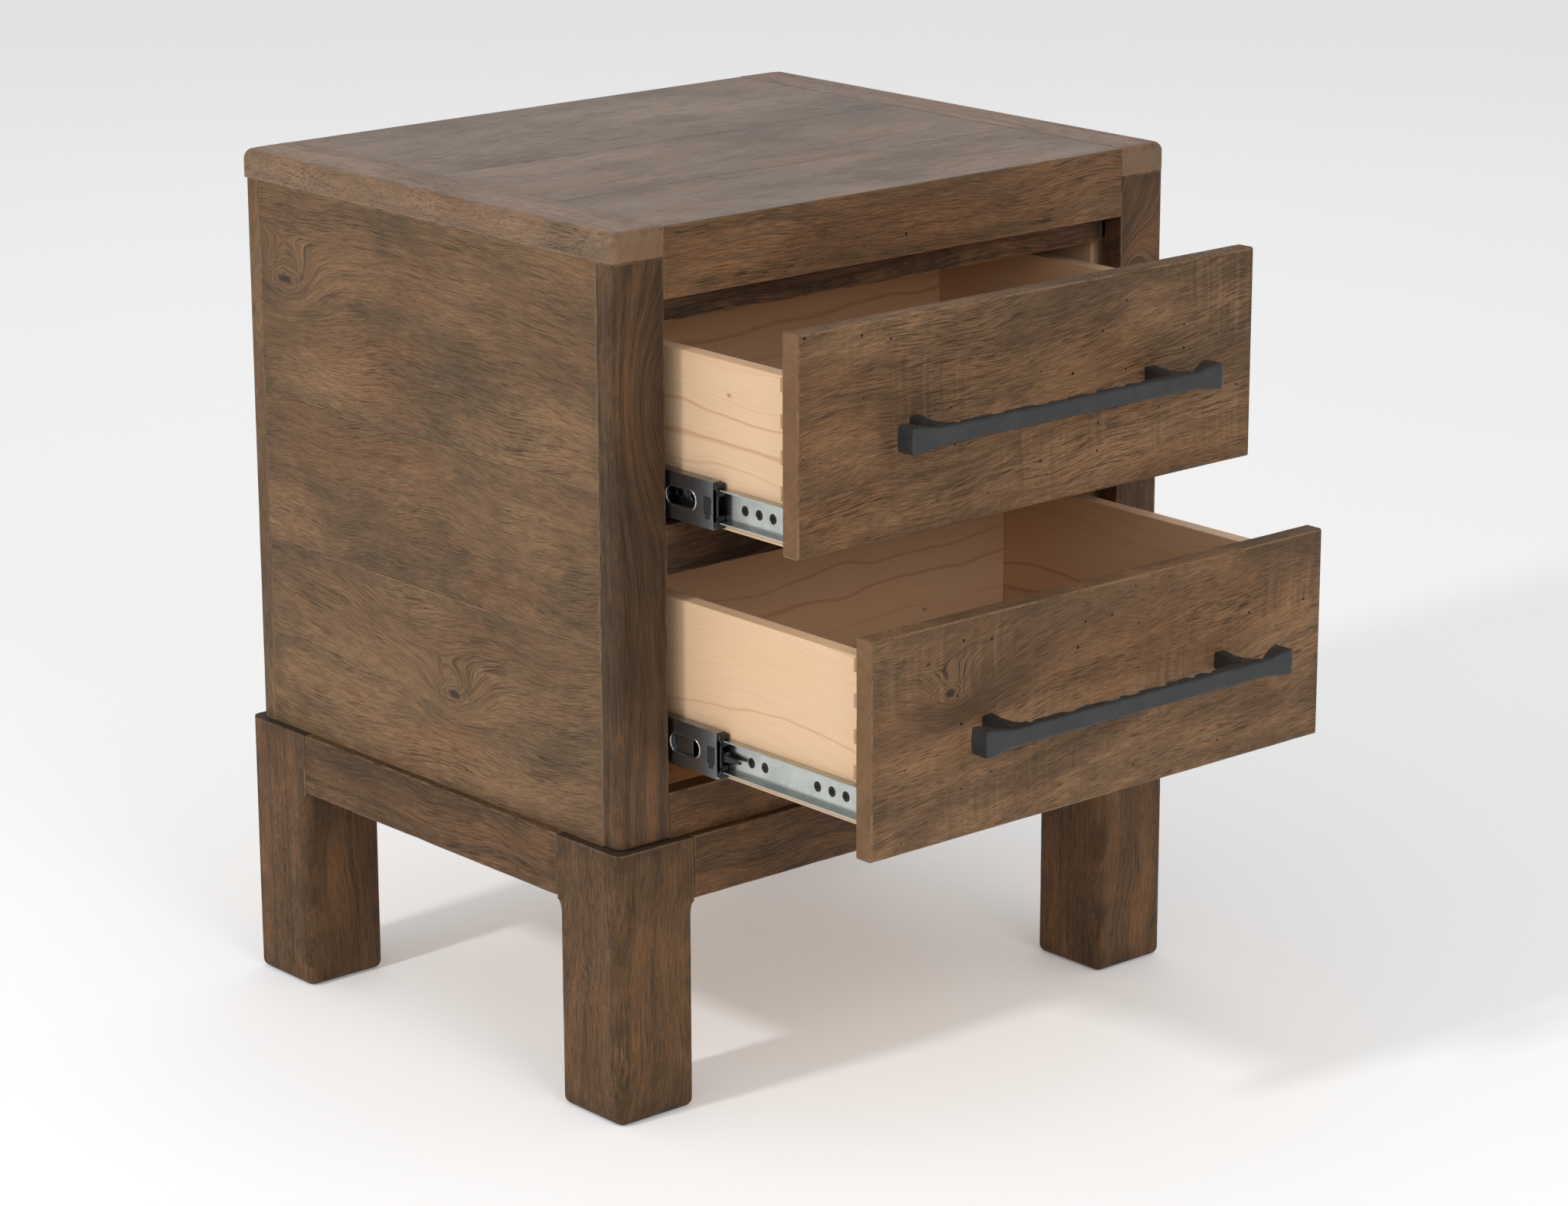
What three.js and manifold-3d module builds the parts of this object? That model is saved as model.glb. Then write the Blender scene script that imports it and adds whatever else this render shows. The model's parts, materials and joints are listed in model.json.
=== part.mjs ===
// A two-drawer nightstand: a plank-built case on a four-legged base, with two inset drawers on
// three-part ball-bearing slides. Millimetres, +Z up. X runs along the front, the front faces -Y,
// and both drawers stand partly open. Inside this file Y = 0 is the front face of the case.
import * as THREE from "three";
import Module from "manifold-3d";
import { mergeVertices } from "three/addons/utils/BufferGeometryUtils.js";

const wasm = await Module();
wasm.setup();

// ---- driving dimensions ----
const CASE = { width: 559, depth: 457, bottom: 214, top: 676 };
const TOP_THICKNESS = 22;
const BOARD = 18; // front stiles, front rails and applied drawer fronts
const STILE_WIDTH = 48;
const SIDE_THICKNESS = 20;
const EDGE_ROUND = 8; // the case's outer arrises
const BOTTOM_RAIL_HEIGHT = 36;
const MIDDLE_RAIL_HEIGHT = 38;
const OPENING_HEIGHT = 167; // clear height of each drawer opening
const PANEL = 12; // case bottom, dust panel and stop rail
const CASE_BOTTOM_STEP = 1; // the case bottom's top face lies this far below the bottom rail's edge
// The stop rail's gap behind a closed drawer front, its drop below the top rail, and its gap at each end.
const STOP_RAIL = { gap: 2, drop: 22, endGap: 0.5 };
const BACK_THICKNESS = 6;
const SPACER = { front: 33, depth: 312, height: 351 };

const LEG = { size: 73, round: 8 };
const BASE_OVERHANG = 6.5;
const BASE_RAIL = { height: 49, thickness: 28 };

const FRONT = { gap: 1.5, height: 163, ease: 2.5 };
const BOX = { depth: 318, height: 125, wall: 13, bottom: 6, groove: 6, lift: 8 };
const DRAWERS = [
  { name: "upper", opening: 1, boxAboveFront: 2.5, open: 144, railTravel: 72 },
  { name: "lower", opening: 0, boxAboveFront: 19.5, open: 222, railTravel: 74 },
];

// space: from the box side to the case. boxStrip: what shows of the box side under the drawer member.
const SLIDE = {
  length: 305, space: 13, sheet: 1.2, setback: 22, memberGap: 0.5, boxStrip: 6.25, cutMargin: 1,
};
const CABINET_MEMBER = { half: 22.75, inner: 0, outer: 9.5, lip: 2.2 };
const MIDDLE_MEMBER = { half: 17.75, inner: 2.6, outer: 11, lip: 0 };
const DRAWER_MEMBER = { half: 12.75, inner: 5.4, outer: 12.8, lip: 0 };
const MEMBER_HOLES = { radius: 3.9, at: [20, 35, 50.5, 108, 123, 240, 270] };
const WINDOWS = { height: 13, length: 32, at: [36, 150, 262] };
const CAGE = { length: 96, near: 4.25, web: 0.6, far: 10.4, half: 16.1, inner: 13.1 };
const LEVER = {
  tip: 148, shoulder: 162, pivot: 170, end: 178, near: 6, far: 8, tall: 12, point: 4, pin: 1.5,
  clearance: 0.4,
};

const HANDLE = {
  length: 312, reach: 40, thickness: 9, height: 13, endThickness: 17, endHeight: 20,
  flare: 30, postAt: 119, postWidth: 10, postFlare: 5, postOuterFlare: 1,
};

// ---- places worked out from them ----
const HALF = CASE.width / 2;
const OPENING_HALF = HALF - STILE_WIDTH;
const UNDER_TOP = CASE.top - TOP_THICKNESS;
const BOTTOM_RAIL_TOP = CASE.bottom + BOTTOM_RAIL_HEIGHT;
const FLOOR_OF_OPENING = [BOTTOM_RAIL_TOP, BOTTOM_RAIL_TOP + OPENING_HEIGHT + MIDDLE_RAIL_HEIGHT];
const TOP_RAIL_BOTTOM = FLOOR_OF_OPENING[1] + OPENING_HEIGHT;
const BOX_HALF = OPENING_HALF - SLIDE.space;
const BASE_HALF = HALF + BASE_OVERHANG;
const REAR = CASE.depth + BASE_OVERHANG;
const FRONTMOST = -DRAWERS[1].open - HANDLE.reach;

// ---- materials ----
const finish = (color, roughness, metalness = 0) => ({ color, roughness, metalness });
const FINISH = {
  wood: finish(0x73583f, 0.6),
  top: finish(0x8a8076, 0.42),
  pine: finish(0xdebc94, 0.6),
  ply: finish(0xc9a57c, 0.65),
  iron: finish(0x46494b, 0.5, 0.6),
  zinc: finish(0xb9bfc2, 0.3, 1),
  darkSteel: finish(0x5d6266, 0.35, 0.9),
  plastic: finish(0x17181a, 0.45),
};

function mesh(name, kind, geometry) {
  const made = new THREE.Mesh(geometry, new THREE.MeshStandardMaterial(FINISH[kind]));
  made.name = name;
  return made;
}

// ---- shapes ----
function box([x0, x1], [y0, y1], [z0, z1]) {
  const geometry = new THREE.BoxGeometry(x1 - x0, y1 - y0, z1 - z0);
  return geometry.translate((x0 + x1) / 2, (y0 + y1) / 2, (z0 + z1) / 2);
}

// Extrudes an outline along an axis. The outline's two coordinates are (y, z) along X,
// (x, z) along Y, and (x, y) along Z.
function extruded(outline, axis, from, to, options = {}) {
  const shape = outline instanceof THREE.Shape ? outline : new THREE.Shape(outline);
  const settings = { depth: to - from, bevelEnabled: false, curveSegments: 6, ...options };
  const geometry = new THREE.ExtrudeGeometry(shape, settings);
  const [x, y, z] = [[1, 0, 0], [0, 1, 0], [0, 0, 1]].map((v) => new THREE.Vector3(...v));
  const turn = new THREE.Matrix4();
  if (axis === "x") turn.makeBasis(y, z, x).setPosition(from, 0, 0);
  if (axis === "y") turn.makeBasis(x, z, y.clone().negate()).setPosition(0, to, 0);
  if (axis === "z") turn.makeBasis(x, y, z).setPosition(0, 0, from);
  return geometry.applyMatrix4(turn);
}

const points = (pairs) => pairs.map(([u, v]) => new THREE.Vector2(u, v));

// A rectangle whose corners are rounded where radii, given from (u0, v0) anticlockwise, say so.
// It starts at a rounded corner where there is one, because an arc joins only to a curve before it.
function roundedRectangle([u0, u1], [v0, v1], radii) {
  const corners = [[u0, v0, 180], [u1, v0, 270], [u1, v1, 0], [u0, v1, 90]];
  const first = Math.max(0, radii.findIndex((r) => r > 0));
  const shape = new THREE.Shape();
  for (let step = 0; step < corners.length; step += 1) {
    const i = (first + step) % corners.length;
    const [u, v, startAngle] = corners[i];
    const r = radii[i];
    const a = THREE.MathUtils.degToRad(startAngle);
    const centre = [u + (u === u0 ? r : -r), v + (v === v0 ? r : -r)];
    if (r > 0) shape.absarc(...centre, r, a, a + Math.PI / 2);
    else if (step === 0) shape.moveTo(u, v);
    else shape.lineTo(u, v);
  }
  shape.closePath();
  return shape;
}

// Two mirror halves of an outline, each a list of (x, v) running away from x = 0.
const mirrored = (pairs) => pairs.map(([x, v]) => [-x, v]).reverse();
const reversed = (pairs) => [...pairs].reverse();

// ---- joins and cuts ----
function solid(geometry) {
  const bare = geometry.clone();
  bare.deleteAttribute("normal");
  bare.deleteAttribute("uv");
  const merged = mergeVertices(bare, 1e-4);
  const vertProperties = new Float32Array(merged.attributes.position.array);
  const triVerts = new Uint32Array(merged.index.array);
  return new wasm.Manifold(new wasm.Mesh({ numProp: 3, vertProperties, triVerts }));
}

function fromSolid(made) {
  const { vertProperties, triVerts } = made.getMesh();
  const geometry = new THREE.BufferGeometry();
  geometry.setAttribute("position", new THREE.BufferAttribute(new Float32Array(vertProperties), 3));
  geometry.setIndex(new THREE.BufferAttribute(new Uint32Array(triVerts), 1));
  return geometry;
}

// Cuts every tool out of the body at once.
function cut(body, tools) {
  const all = tools.map(solid).reduce((sum, tool) => sum.add(tool));
  return fromSolid(solid(body).subtract(all));
}

function rod(radius, [x0, x1], y, z, sides = 12) {
  const geometry = new THREE.CylinderGeometry(radius, radius, x1 - x0, sides);
  return geometry.rotateZ(Math.PI / 2).translate((x0 + x1) / 2, y, z);
}

// ---- the case ----
// Mirrors a range of X for the right-hand side of the nightstand.
const onSide = (side, [near, far]) => (side === "left" ? [-far, -near] : [near, far]);

function topBoards() {
  const field = [[0, CASE.top], [BOARD, UNDER_TOP], [CASE.depth, UNDER_TOP], [CASE.depth, CASE.top]];
  const rail = [[0, TOP_RAIL_BOTTOM], [BOARD, TOP_RAIL_BOTTOM], [BOARD, UNDER_TOP], [0, CASE.top]];
  const boards = [
    mesh("top_panel", "top", extruded(points(field), "x", -OPENING_HALF, OPENING_HALF)),
    mesh("top_front_rail", "wood", extruded(points(rail), "x", -OPENING_HALF, OPENING_HALF)),
  ];
  for (const side of ["left", "right"]) {
    const radii = side === "left" ? [0, 0, 0, EDGE_ROUND] : [0, 0, EDGE_ROUND, 0];
    const section = roundedRectangle(onSide(side, [OPENING_HALF, HALF]), [UNDER_TOP, CASE.top], radii);
    boards.push(mesh(`top_end_board_${side}`, "top", extruded(section, "y", 0, CASE.depth)));
  }
  return boards;
}

function sideBoards(side) {
  const across = onSide(side, [OPENING_HALF, HALF]);
  const outer = side === "left" ? 0 : 1;
  const rounded = (corner) => [0, 1, 2, 3].map((i) => (i === corner ? EDGE_ROUND : 0));
  const front = roundedRectangle(across, [0, BOARD], rounded(outer));
  const rearOfSide = CASE.depth - SIDE_THICKNESS;
  const rear = roundedRectangle(across, [rearOfSide, CASE.depth], rounded(3 - outer));
  const wall = onSide(side, [HALF - SIDE_THICKNESS, HALF]);
  const packing = onSide(side, [OPENING_HALF, HALF - SIDE_THICKNESS]);
  const spacerBottom = BOTTOM_RAIL_TOP - CASE_BOTTOM_STEP;
  const spacerDepth = [SPACER.front, SPACER.front + SPACER.depth];
  const spacerHeight = [spacerBottom, spacerBottom + SPACER.height];
  return [
    mesh(`front_stile_${side}`, "wood", extruded(front, "z", CASE.bottom, UNDER_TOP)),
    mesh(`rear_stile_${side}`, "wood", extruded(rear, "z", CASE.bottom, UNDER_TOP)),
    mesh(`side_panel_${side}`, "wood", box(wall, [BOARD, rearOfSide], [CASE.bottom, UNDER_TOP])),
    mesh(`slide_spacer_${side}`, "pine", box(packing, spacerDepth, spacerHeight)),
  ];
}

function railsAndPanels() {
  const across = [-OPENING_HALF, OPENING_HALF];
  const inside = [-HALF + SIDE_THICKNESS, HALF - SIDE_THICKNESS];
  const backPlane = CASE.depth - SIDE_THICKNESS;
  const behindRails = [BOARD, backPlane - BACK_THICKNESS];
  const bottomTop = BOTTOM_RAIL_TOP - CASE_BOTTOM_STEP;
  const middleTop = FLOOR_OF_OPENING[1];
  const stopDepth = [BOARD + STOP_RAIL.gap, BOARD + STOP_RAIL.gap + PANEL];
  const stopHalf = OPENING_HALF - STOP_RAIL.endGap;
  const stopHeight = [TOP_RAIL_BOTTOM - STOP_RAIL.drop, UNDER_TOP];
  const middle = [middleTop - MIDDLE_RAIL_HEIGHT, middleTop];
  return [
    mesh("bottom_rail", "wood", box(across, [0, BOARD], [CASE.bottom, BOTTOM_RAIL_TOP])),
    mesh("middle_rail", "wood", box(across, [0, BOARD], middle)),
    mesh("stop_rail", "wood", box([-stopHalf, stopHalf], stopDepth, stopHeight)),
    mesh("case_bottom", "ply", box(inside, behindRails, [bottomTop - PANEL, bottomTop])),
    mesh("dust_panel", "ply", box(across, behindRails, [middleTop - PANEL, middleTop])),
    mesh("back_panel", "ply", box(inside, [behindRails[1], backPlane], [CASE.bottom, UNDER_TOP])),
  ];
}

// ---- the base ----
function base() {
  const parts = [];
  const front = -BASE_OVERHANG;
  const railBottom = CASE.bottom - BASE_RAIL.height;
  const heights = [railBottom, CASE.bottom];
  const alongY = [front + LEG.size, REAR - LEG.size];
  for (const side of ["left", "right"]) {
    const across = onSide(side, [BASE_HALF - LEG.size, BASE_HALF]);
    const rows = { front: [front, alongY[0]], rear: [alongY[1], REAR] };
    for (const [row, deep] of Object.entries(rows)) {
      const section = roundedRectangle(across, deep, Array(4).fill(LEG.round));
      const upper = roundedRectangle(across, deep, legCornersAtRails(side, row));
      const leg = solid(extruded(section, "z", 0, railBottom));
      const head = solid(extruded(upper, "z", railBottom, CASE.bottom));
      parts.push(mesh(`leg_${row}_${side}`, "wood", fromSolid(leg.add(head))));
    }
    const thick = onSide(side, [BASE_HALF - BASE_RAIL.thickness, BASE_HALF]);
    parts.push(mesh(`base_rail_${side}`, "wood", box(thick, alongY, heights)));
  }
  const alongX = [-BASE_HALF + LEG.size, BASE_HALF - LEG.size];
  const railDepths = {
    front: [front, front + BASE_RAIL.thickness],
    rear: [REAR - BASE_RAIL.thickness, REAR],
  };
  for (const [row, deep] of Object.entries(railDepths)) {
    parts.push(mesh(`base_rail_${row}`, "wood", box(alongX, deep, heights)));
  }
  return parts;
}

// Beside the rails only a leg's outer corner keeps its round, so that the joints close.
function legCornersAtRails(side, row) {
  const outer = { front: { left: 0, right: 1 }, rear: { right: 2, left: 3 } }[row][side];
  return [0, 1, 2, 3].map((corner) => (corner === outer ? LEG.round : 0));
}

// ---- a drawer, built closed, with its box's lower edge at Z = 0 ----
function drawerBox(name) {
  const { wall, height, depth, groove, bottom, lift } = BOX;
  const back = BOARD + depth;
  // A wall's section with the groove for the bottom: its inner face is at the given face, and it
  // thickens towards the given sign.
  const section = (face, sign) => points([
    [face, 0], [face, lift], [face + sign * groove, lift], [face + sign * groove, lift + bottom],
    [face, lift + bottom], [face, height], [face + sign * wall, height], [face + sign * wall, 0],
  ]);
  const inner = BOX_HALF - wall;
  const clear = [BOARD + wall, back - wall];
  const floor = box([-inner - groove, inner + groove], [clear[0] - groove, clear[1] + groove],
    [lift, lift + bottom]);
  return [
    mesh(`${name}_side_left`, "pine", extruded(section(-inner, -1), "y", BOARD, back)),
    mesh(`${name}_side_right`, "pine", extruded(section(inner, 1), "y", BOARD, back)),
    mesh(`${name}_box_front`, "pine", extruded(section(clear[0], -1), "x", -inner, inner)),
    mesh(`${name}_box_back`, "pine", extruded(section(clear[1], 1), "x", -inner, inner)),
    mesh(`${name}_bottom`, "ply", fromSolid(solid(floor))),
  ];
}

function drawerFront(name, boxAboveFront) {
  const half = OPENING_HALF - FRONT.gap;
  const { ease, height } = FRONT;
  const outline = roundedRectangle([-half + ease, half - ease], [ease, height - ease], [0, 0, 0, 0]);
  const eased = { bevelEnabled: true, bevelSize: ease, bevelThickness: ease, bevelSegments: 2 };
  const geometry = extruded(outline, "y", ease, BOARD - ease, eased);
  return mesh(`${name}_front`, "wood", geometry.translate(0, 0, -boxAboveFront));
}

// A size of the pull that swells smoothly from its middle's value to its end's, at x along it.
const flareAt = (x, middle, end) => {
  const t = THREE.MathUtils.clamp((x - HANDLE.length / 2 + HANDLE.flare) / HANDLE.flare, 0, 1);
  return middle + (end - middle) * t * t * (3 - 2 * t);
};

function drawerHandle(name, boxAboveFront) {
  const { length, reach, thickness, height, endThickness, endHeight, flare } = HANDLE;
  const { postAt, postWidth, postFlare, postOuterFlare } = HANDLE;
  const end = length / 2;
  const stations = [0, 0.2, 0.4, 0.6, 0.8, 1].map((t) => end - flare + flare * t);
  // Seen from the front: a bar that swells towards its ends.
  const edge = stations.map((x) => [x, flareAt(x, height, endHeight) / 2]);
  const lower = edge.map(([x, z]) => [x, -z]);
  const upper = reversed(edge);
  const faceOn = points([...mirrored(lower), ...lower, ...upper, ...mirrored(upper)]);
  // Seen from above: its back swells too, and two posts reach the drawer front at y = 0.
  const backOfBar = -reach + thickness;
  const innerFace = postAt - postWidth / 2;
  const outerFace = postAt + postWidth / 2;
  const post = [
    [innerFace - postFlare, backOfBar], [innerFace, backOfBar + postFlare], [innerFace, 0],
    [outerFace, 0], [outerFace, backOfBar + postFlare], [outerFace + postOuterFlare, backOfBar],
  ];
  const swelling = stations.slice(1).map((x) => [x, -reach + flareAt(x, thickness, endThickness)]);
  const back = reversed([...post, ...swelling]);
  const fromAbove = points([[-end, -reach], [end, -reach], ...back, ...mirrored(back)]);
  const bar = solid(extruded(faceOn, "y", -reach - 1, 1));
  const plan = solid(extruded(fromAbove, "z", -endHeight, endHeight));
  const geometry = fromSolid(bar.intersect(plan));
  return mesh(`${name}_handle`, "iron", geometry.translate(0, 0, FRONT.height / 2 - boxAboveFront));
}

// ---- a ball-bearing slide, closed, with its centre line at Z = 0 ----
// Distances across a slide are measured from the case towards the drawer.
const acrossSlide = (side, distance) => (side === "left" ? -1 : 1) * (OPENING_HALF - distance);

// The range of X between two such distances, widened by a margin where a tool has to cut right through.
const rangeAcross = (side, a, b, margin = 0) => {
  const [low, high] = [acrossSlide(side, a), acrossSlide(side, b)].sort((p, q) => p - q);
  return [low - margin, high + margin];
};

// A folded channel: its web stands at one end of its width and its flanges reach to the other.
function channel(side, { half, inner, outer, lip }, webAt, start, length) {
  const other = webAt === inner ? outer : inner;
  const inward = Math.sign(other - webAt) * SLIDE.sheet;
  const innerHalf = half - SLIDE.sheet;
  const upper = [[webAt, half], [other, half], [other, innerHalf - lip],
    [other - inward, innerHalf - lip], [other - inward, innerHalf], [webAt + inward, innerHalf]];
  const used = lip > 0 ? upper : [upper[0], upper[1], [other, innerHalf], upper[5]];
  const lower = [...used].reverse().map(([s, z]) => [s, -z]);
  const outline = points([...used, ...lower].map(([s, z]) => [acrossSlide(side, s), z]));
  return extruded(outline, "y", start, start + length);
}

function cabinetMember(side) {
  return channel(side, CABINET_MEMBER, CABINET_MEMBER.inner, SLIDE.setback, SLIDE.length);
}

function middleMember(side) {
  const web = MIDDLE_MEMBER.inner;
  const body = channel(side, MIDDLE_MEMBER, web, SLIDE.setback, SLIDE.length);
  const through = rangeAcross(side, web, web + SLIDE.sheet, SLIDE.cutMargin);
  const r = WINDOWS.height / 2;
  const tools = WINDOWS.at.map((middle) => {
    const y = SLIDE.setback + middle;
    const ends = [y - WINDOWS.length / 2, y + WINDOWS.length / 2];
    return extruded(roundedRectangle(ends, [-r, r], Array(4).fill(r - 0.01)), "x", ...through);
  });
  return cut(body, tools);
}

const memberStart = BOARD + SLIDE.memberGap;

function drawerMember(side) {
  const web = DRAWER_MEMBER.outer;
  const body = channel(side, DRAWER_MEMBER, web, memberStart, SLIDE.length);
  const through = rangeAcross(side, web - SLIDE.sheet, web, SLIDE.cutMargin);
  const holes = MEMBER_HOLES.at.map((at) => rod(MEMBER_HOLES.radius, through, memberStart + at, 0));
  const pin = rod(LEVER.pin, rangeAcross(side, LEVER.near, web), LEVER.pivot, 0);
  return fromSolid(solid(cut(body, holes)).add(solid(pin)));
}

function ballCage(side) {
  const { near, web, far, half, inner, length } = CAGE;
  const upper = [[near, half], [far, half], [far, inner], [near + web, inner]];
  const lower = [...upper].reverse().map(([s, z]) => [s, -z]);
  const outline = points([...upper, ...lower].map(([s, z]) => [acrossSlide(side, s), z]));
  const middle = (SLIDE.setback + memberStart + SLIDE.length) / 2;
  return extruded(outline, "y", middle - length / 2, middle + length / 2);
}

function releaseLever(side) {
  const { tip, shoulder, pivot, end, near, far, tall, point, pin, clearance } = LEVER;
  const outline = points([[tip, -point / 2], [shoulder, -tall / 2], [end, -tall / 2],
    [end, tall / 2], [shoulder, tall / 2], [tip, point / 2]]);
  const plate = extruded(outline, "x", ...rangeAcross(side, near, far));
  const hole = rod(pin + clearance, rangeAcross(side, near, far, SLIDE.cutMargin), pivot, 0);
  return cut(plate, [hole]);
}

// ---- assembly ----
function moved(group, open) {
  group.position.y = -open;
  return group;
}

function drawerWithSlides({ name, opening, boxAboveFront, open, railTravel }) {
  const frontBottom = FLOOR_OF_OPENING[opening] + (OPENING_HEIGHT - FRONT.height) / 2;
  const boxBottom = frontBottom + boxAboveFront;
  const slideHeight = boxBottom + SLIDE.boxStrip + DRAWER_MEMBER.half;
  const drawer = moved(new THREE.Group(), open);
  const atBox = new THREE.Group();
  atBox.position.z = boxBottom;
  atBox.add(...drawerBox(`${name}_drawer`), drawerFront(`${name}_drawer`, boxAboveFront));
  atBox.add(drawerHandle(`${name}_drawer`, boxAboveFront));
  drawer.add(atBox);
  const onDrawer = new THREE.Group();
  const onRails = moved(new THREE.Group(), railTravel);
  const onCages = moved(new THREE.Group(), (open + railTravel) / 2);
  const onCase = new THREE.Group();
  for (const group of [onDrawer, onRails, onCages, onCase]) group.position.z = slideHeight;
  for (const side of ["left", "right"]) {
    const label = (piece) => `${name}_slide_${piece}_${side}`;
    onCase.add(mesh(label("cabinet_member"), "zinc", cabinetMember(side)));
    onRails.add(mesh(label("middle_member"), "darkSteel", middleMember(side)));
    onCages.add(mesh(label("ball_cage"), "darkSteel", ballCage(side)));
    onDrawer.add(mesh(label("drawer_member"), "zinc", drawerMember(side)));
    onDrawer.add(mesh(label("release_lever"), "plastic", releaseLever(side)));
  }
  drawer.add(onDrawer);
  return [drawer, onRails, onCages, onCase];
}

const nightstand = new THREE.Group();
nightstand.name = "nightstand";
nightstand.add(...topBoards(), ...sideBoards("left"), ...sideBoards("right"), ...railsAndPanels());
nightstand.add(...base());
for (const drawer of DRAWERS) nightstand.add(...drawerWithSlides(drawer));
// The origin is the middle of the whole object's footprint on the floor.
nightstand.position.y = -(FRONTMOST + REAR) / 2;
nightstand.updateMatrixWorld(true);

export default nightstand;
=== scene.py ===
"""A weathered two-drawer nightstand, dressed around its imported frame.

Metres, +Z up. X runs along the front and the front faces -Y. Every piece stands where the frame's
own node stands: boards are worked over from the nodes, and the forged pulls, the slides' fittings
and the screws are made here.
"""

from __future__ import annotations

import json
import logging
import math
from collections.abc import Callable
from dataclasses import dataclass, field
from enum import Enum

import bmesh
import bpy
import numpy as np
from mathutils import Matrix, Vector, noise

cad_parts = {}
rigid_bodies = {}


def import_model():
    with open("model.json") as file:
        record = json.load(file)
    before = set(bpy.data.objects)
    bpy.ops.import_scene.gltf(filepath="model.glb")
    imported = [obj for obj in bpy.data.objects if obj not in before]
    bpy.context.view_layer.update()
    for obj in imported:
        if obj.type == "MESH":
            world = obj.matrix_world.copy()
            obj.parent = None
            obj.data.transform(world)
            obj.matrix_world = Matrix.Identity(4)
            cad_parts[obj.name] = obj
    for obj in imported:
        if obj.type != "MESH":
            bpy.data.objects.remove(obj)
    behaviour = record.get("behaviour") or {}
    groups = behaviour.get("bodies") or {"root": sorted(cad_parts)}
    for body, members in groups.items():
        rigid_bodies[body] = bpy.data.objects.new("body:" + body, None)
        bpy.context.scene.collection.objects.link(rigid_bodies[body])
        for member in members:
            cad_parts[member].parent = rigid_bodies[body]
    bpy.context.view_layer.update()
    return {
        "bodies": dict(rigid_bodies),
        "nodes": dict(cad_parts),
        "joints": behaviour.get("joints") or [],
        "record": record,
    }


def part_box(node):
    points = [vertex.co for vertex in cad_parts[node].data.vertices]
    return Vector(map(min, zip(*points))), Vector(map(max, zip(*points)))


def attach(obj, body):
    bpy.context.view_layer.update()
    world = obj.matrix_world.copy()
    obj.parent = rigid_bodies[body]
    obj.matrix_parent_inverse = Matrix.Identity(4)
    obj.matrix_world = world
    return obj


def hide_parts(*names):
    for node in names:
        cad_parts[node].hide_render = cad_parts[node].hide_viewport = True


LOG = logging.getLogger("nightstand")
MM = 0.001
SIDES = ("left", "right")
ROWS = ("front", "rear")
Colour = tuple[float, float, float]


class Axis(Enum):
    """A direction of the frame."""

    X = 0
    Y = 1
    Z = 2


class Finish(Enum):
    """The material slots of the record that pieces take their finish from."""

    CASE = "case_wood"
    TOP = "top_wood"
    PINE = "drawer_wood"
    PLY = "panel_ply"
    IRON = "handle_iron"
    ZINC = "slide_zinc"
    DARK_STEEL = "slide_dark_steel"
    PLASTIC = "slide_plastic"


# ---------------------------------------------------------------------------------------------
# Node trees from Python expressions
# ---------------------------------------------------------------------------------------------


class Term:
    """A socket whose value takes part in Python expressions."""

    def __init__(self, recipe: Recipe, socket: bpy.types.NodeSocket) -> None:
        """Keeps the socket and the recipe that it belongs to."""
        self.recipe = recipe
        self.socket = socket

    def __add__(self, other: Term | float) -> Term:
        """self + other."""
        return self.recipe.math("ADD", self, other)

    def __sub__(self, other: Term | float) -> Term:
        """self - other."""
        return self.recipe.math("SUBTRACT", self, other)

    def __rsub__(self, other: float) -> Term:
        """other - self."""
        return self.recipe.math("SUBTRACT", other, self)

    def __mul__(self, other: Term | float) -> Term:
        """self * other."""
        return self.recipe.math("MULTIPLY", self, other)

    def __truediv__(self, other: Term | float) -> Term:
        """self / other."""
        return self.recipe.math("DIVIDE", self, other)

    def __pow__(self, power: float) -> Term:
        """self raised to a power."""
        return self.recipe.math("POWER", self, power)

    def __neg__(self) -> Term:
        """-self."""
        return self.recipe.math("MULTIPLY", self, -1.0)

    def __abs__(self) -> Term:
        """The value without its sign."""
        return self.recipe.math("ABSOLUTE", self)

    __radd__ = __add__
    __rmul__ = __mul__


Value = Term | float


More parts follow.
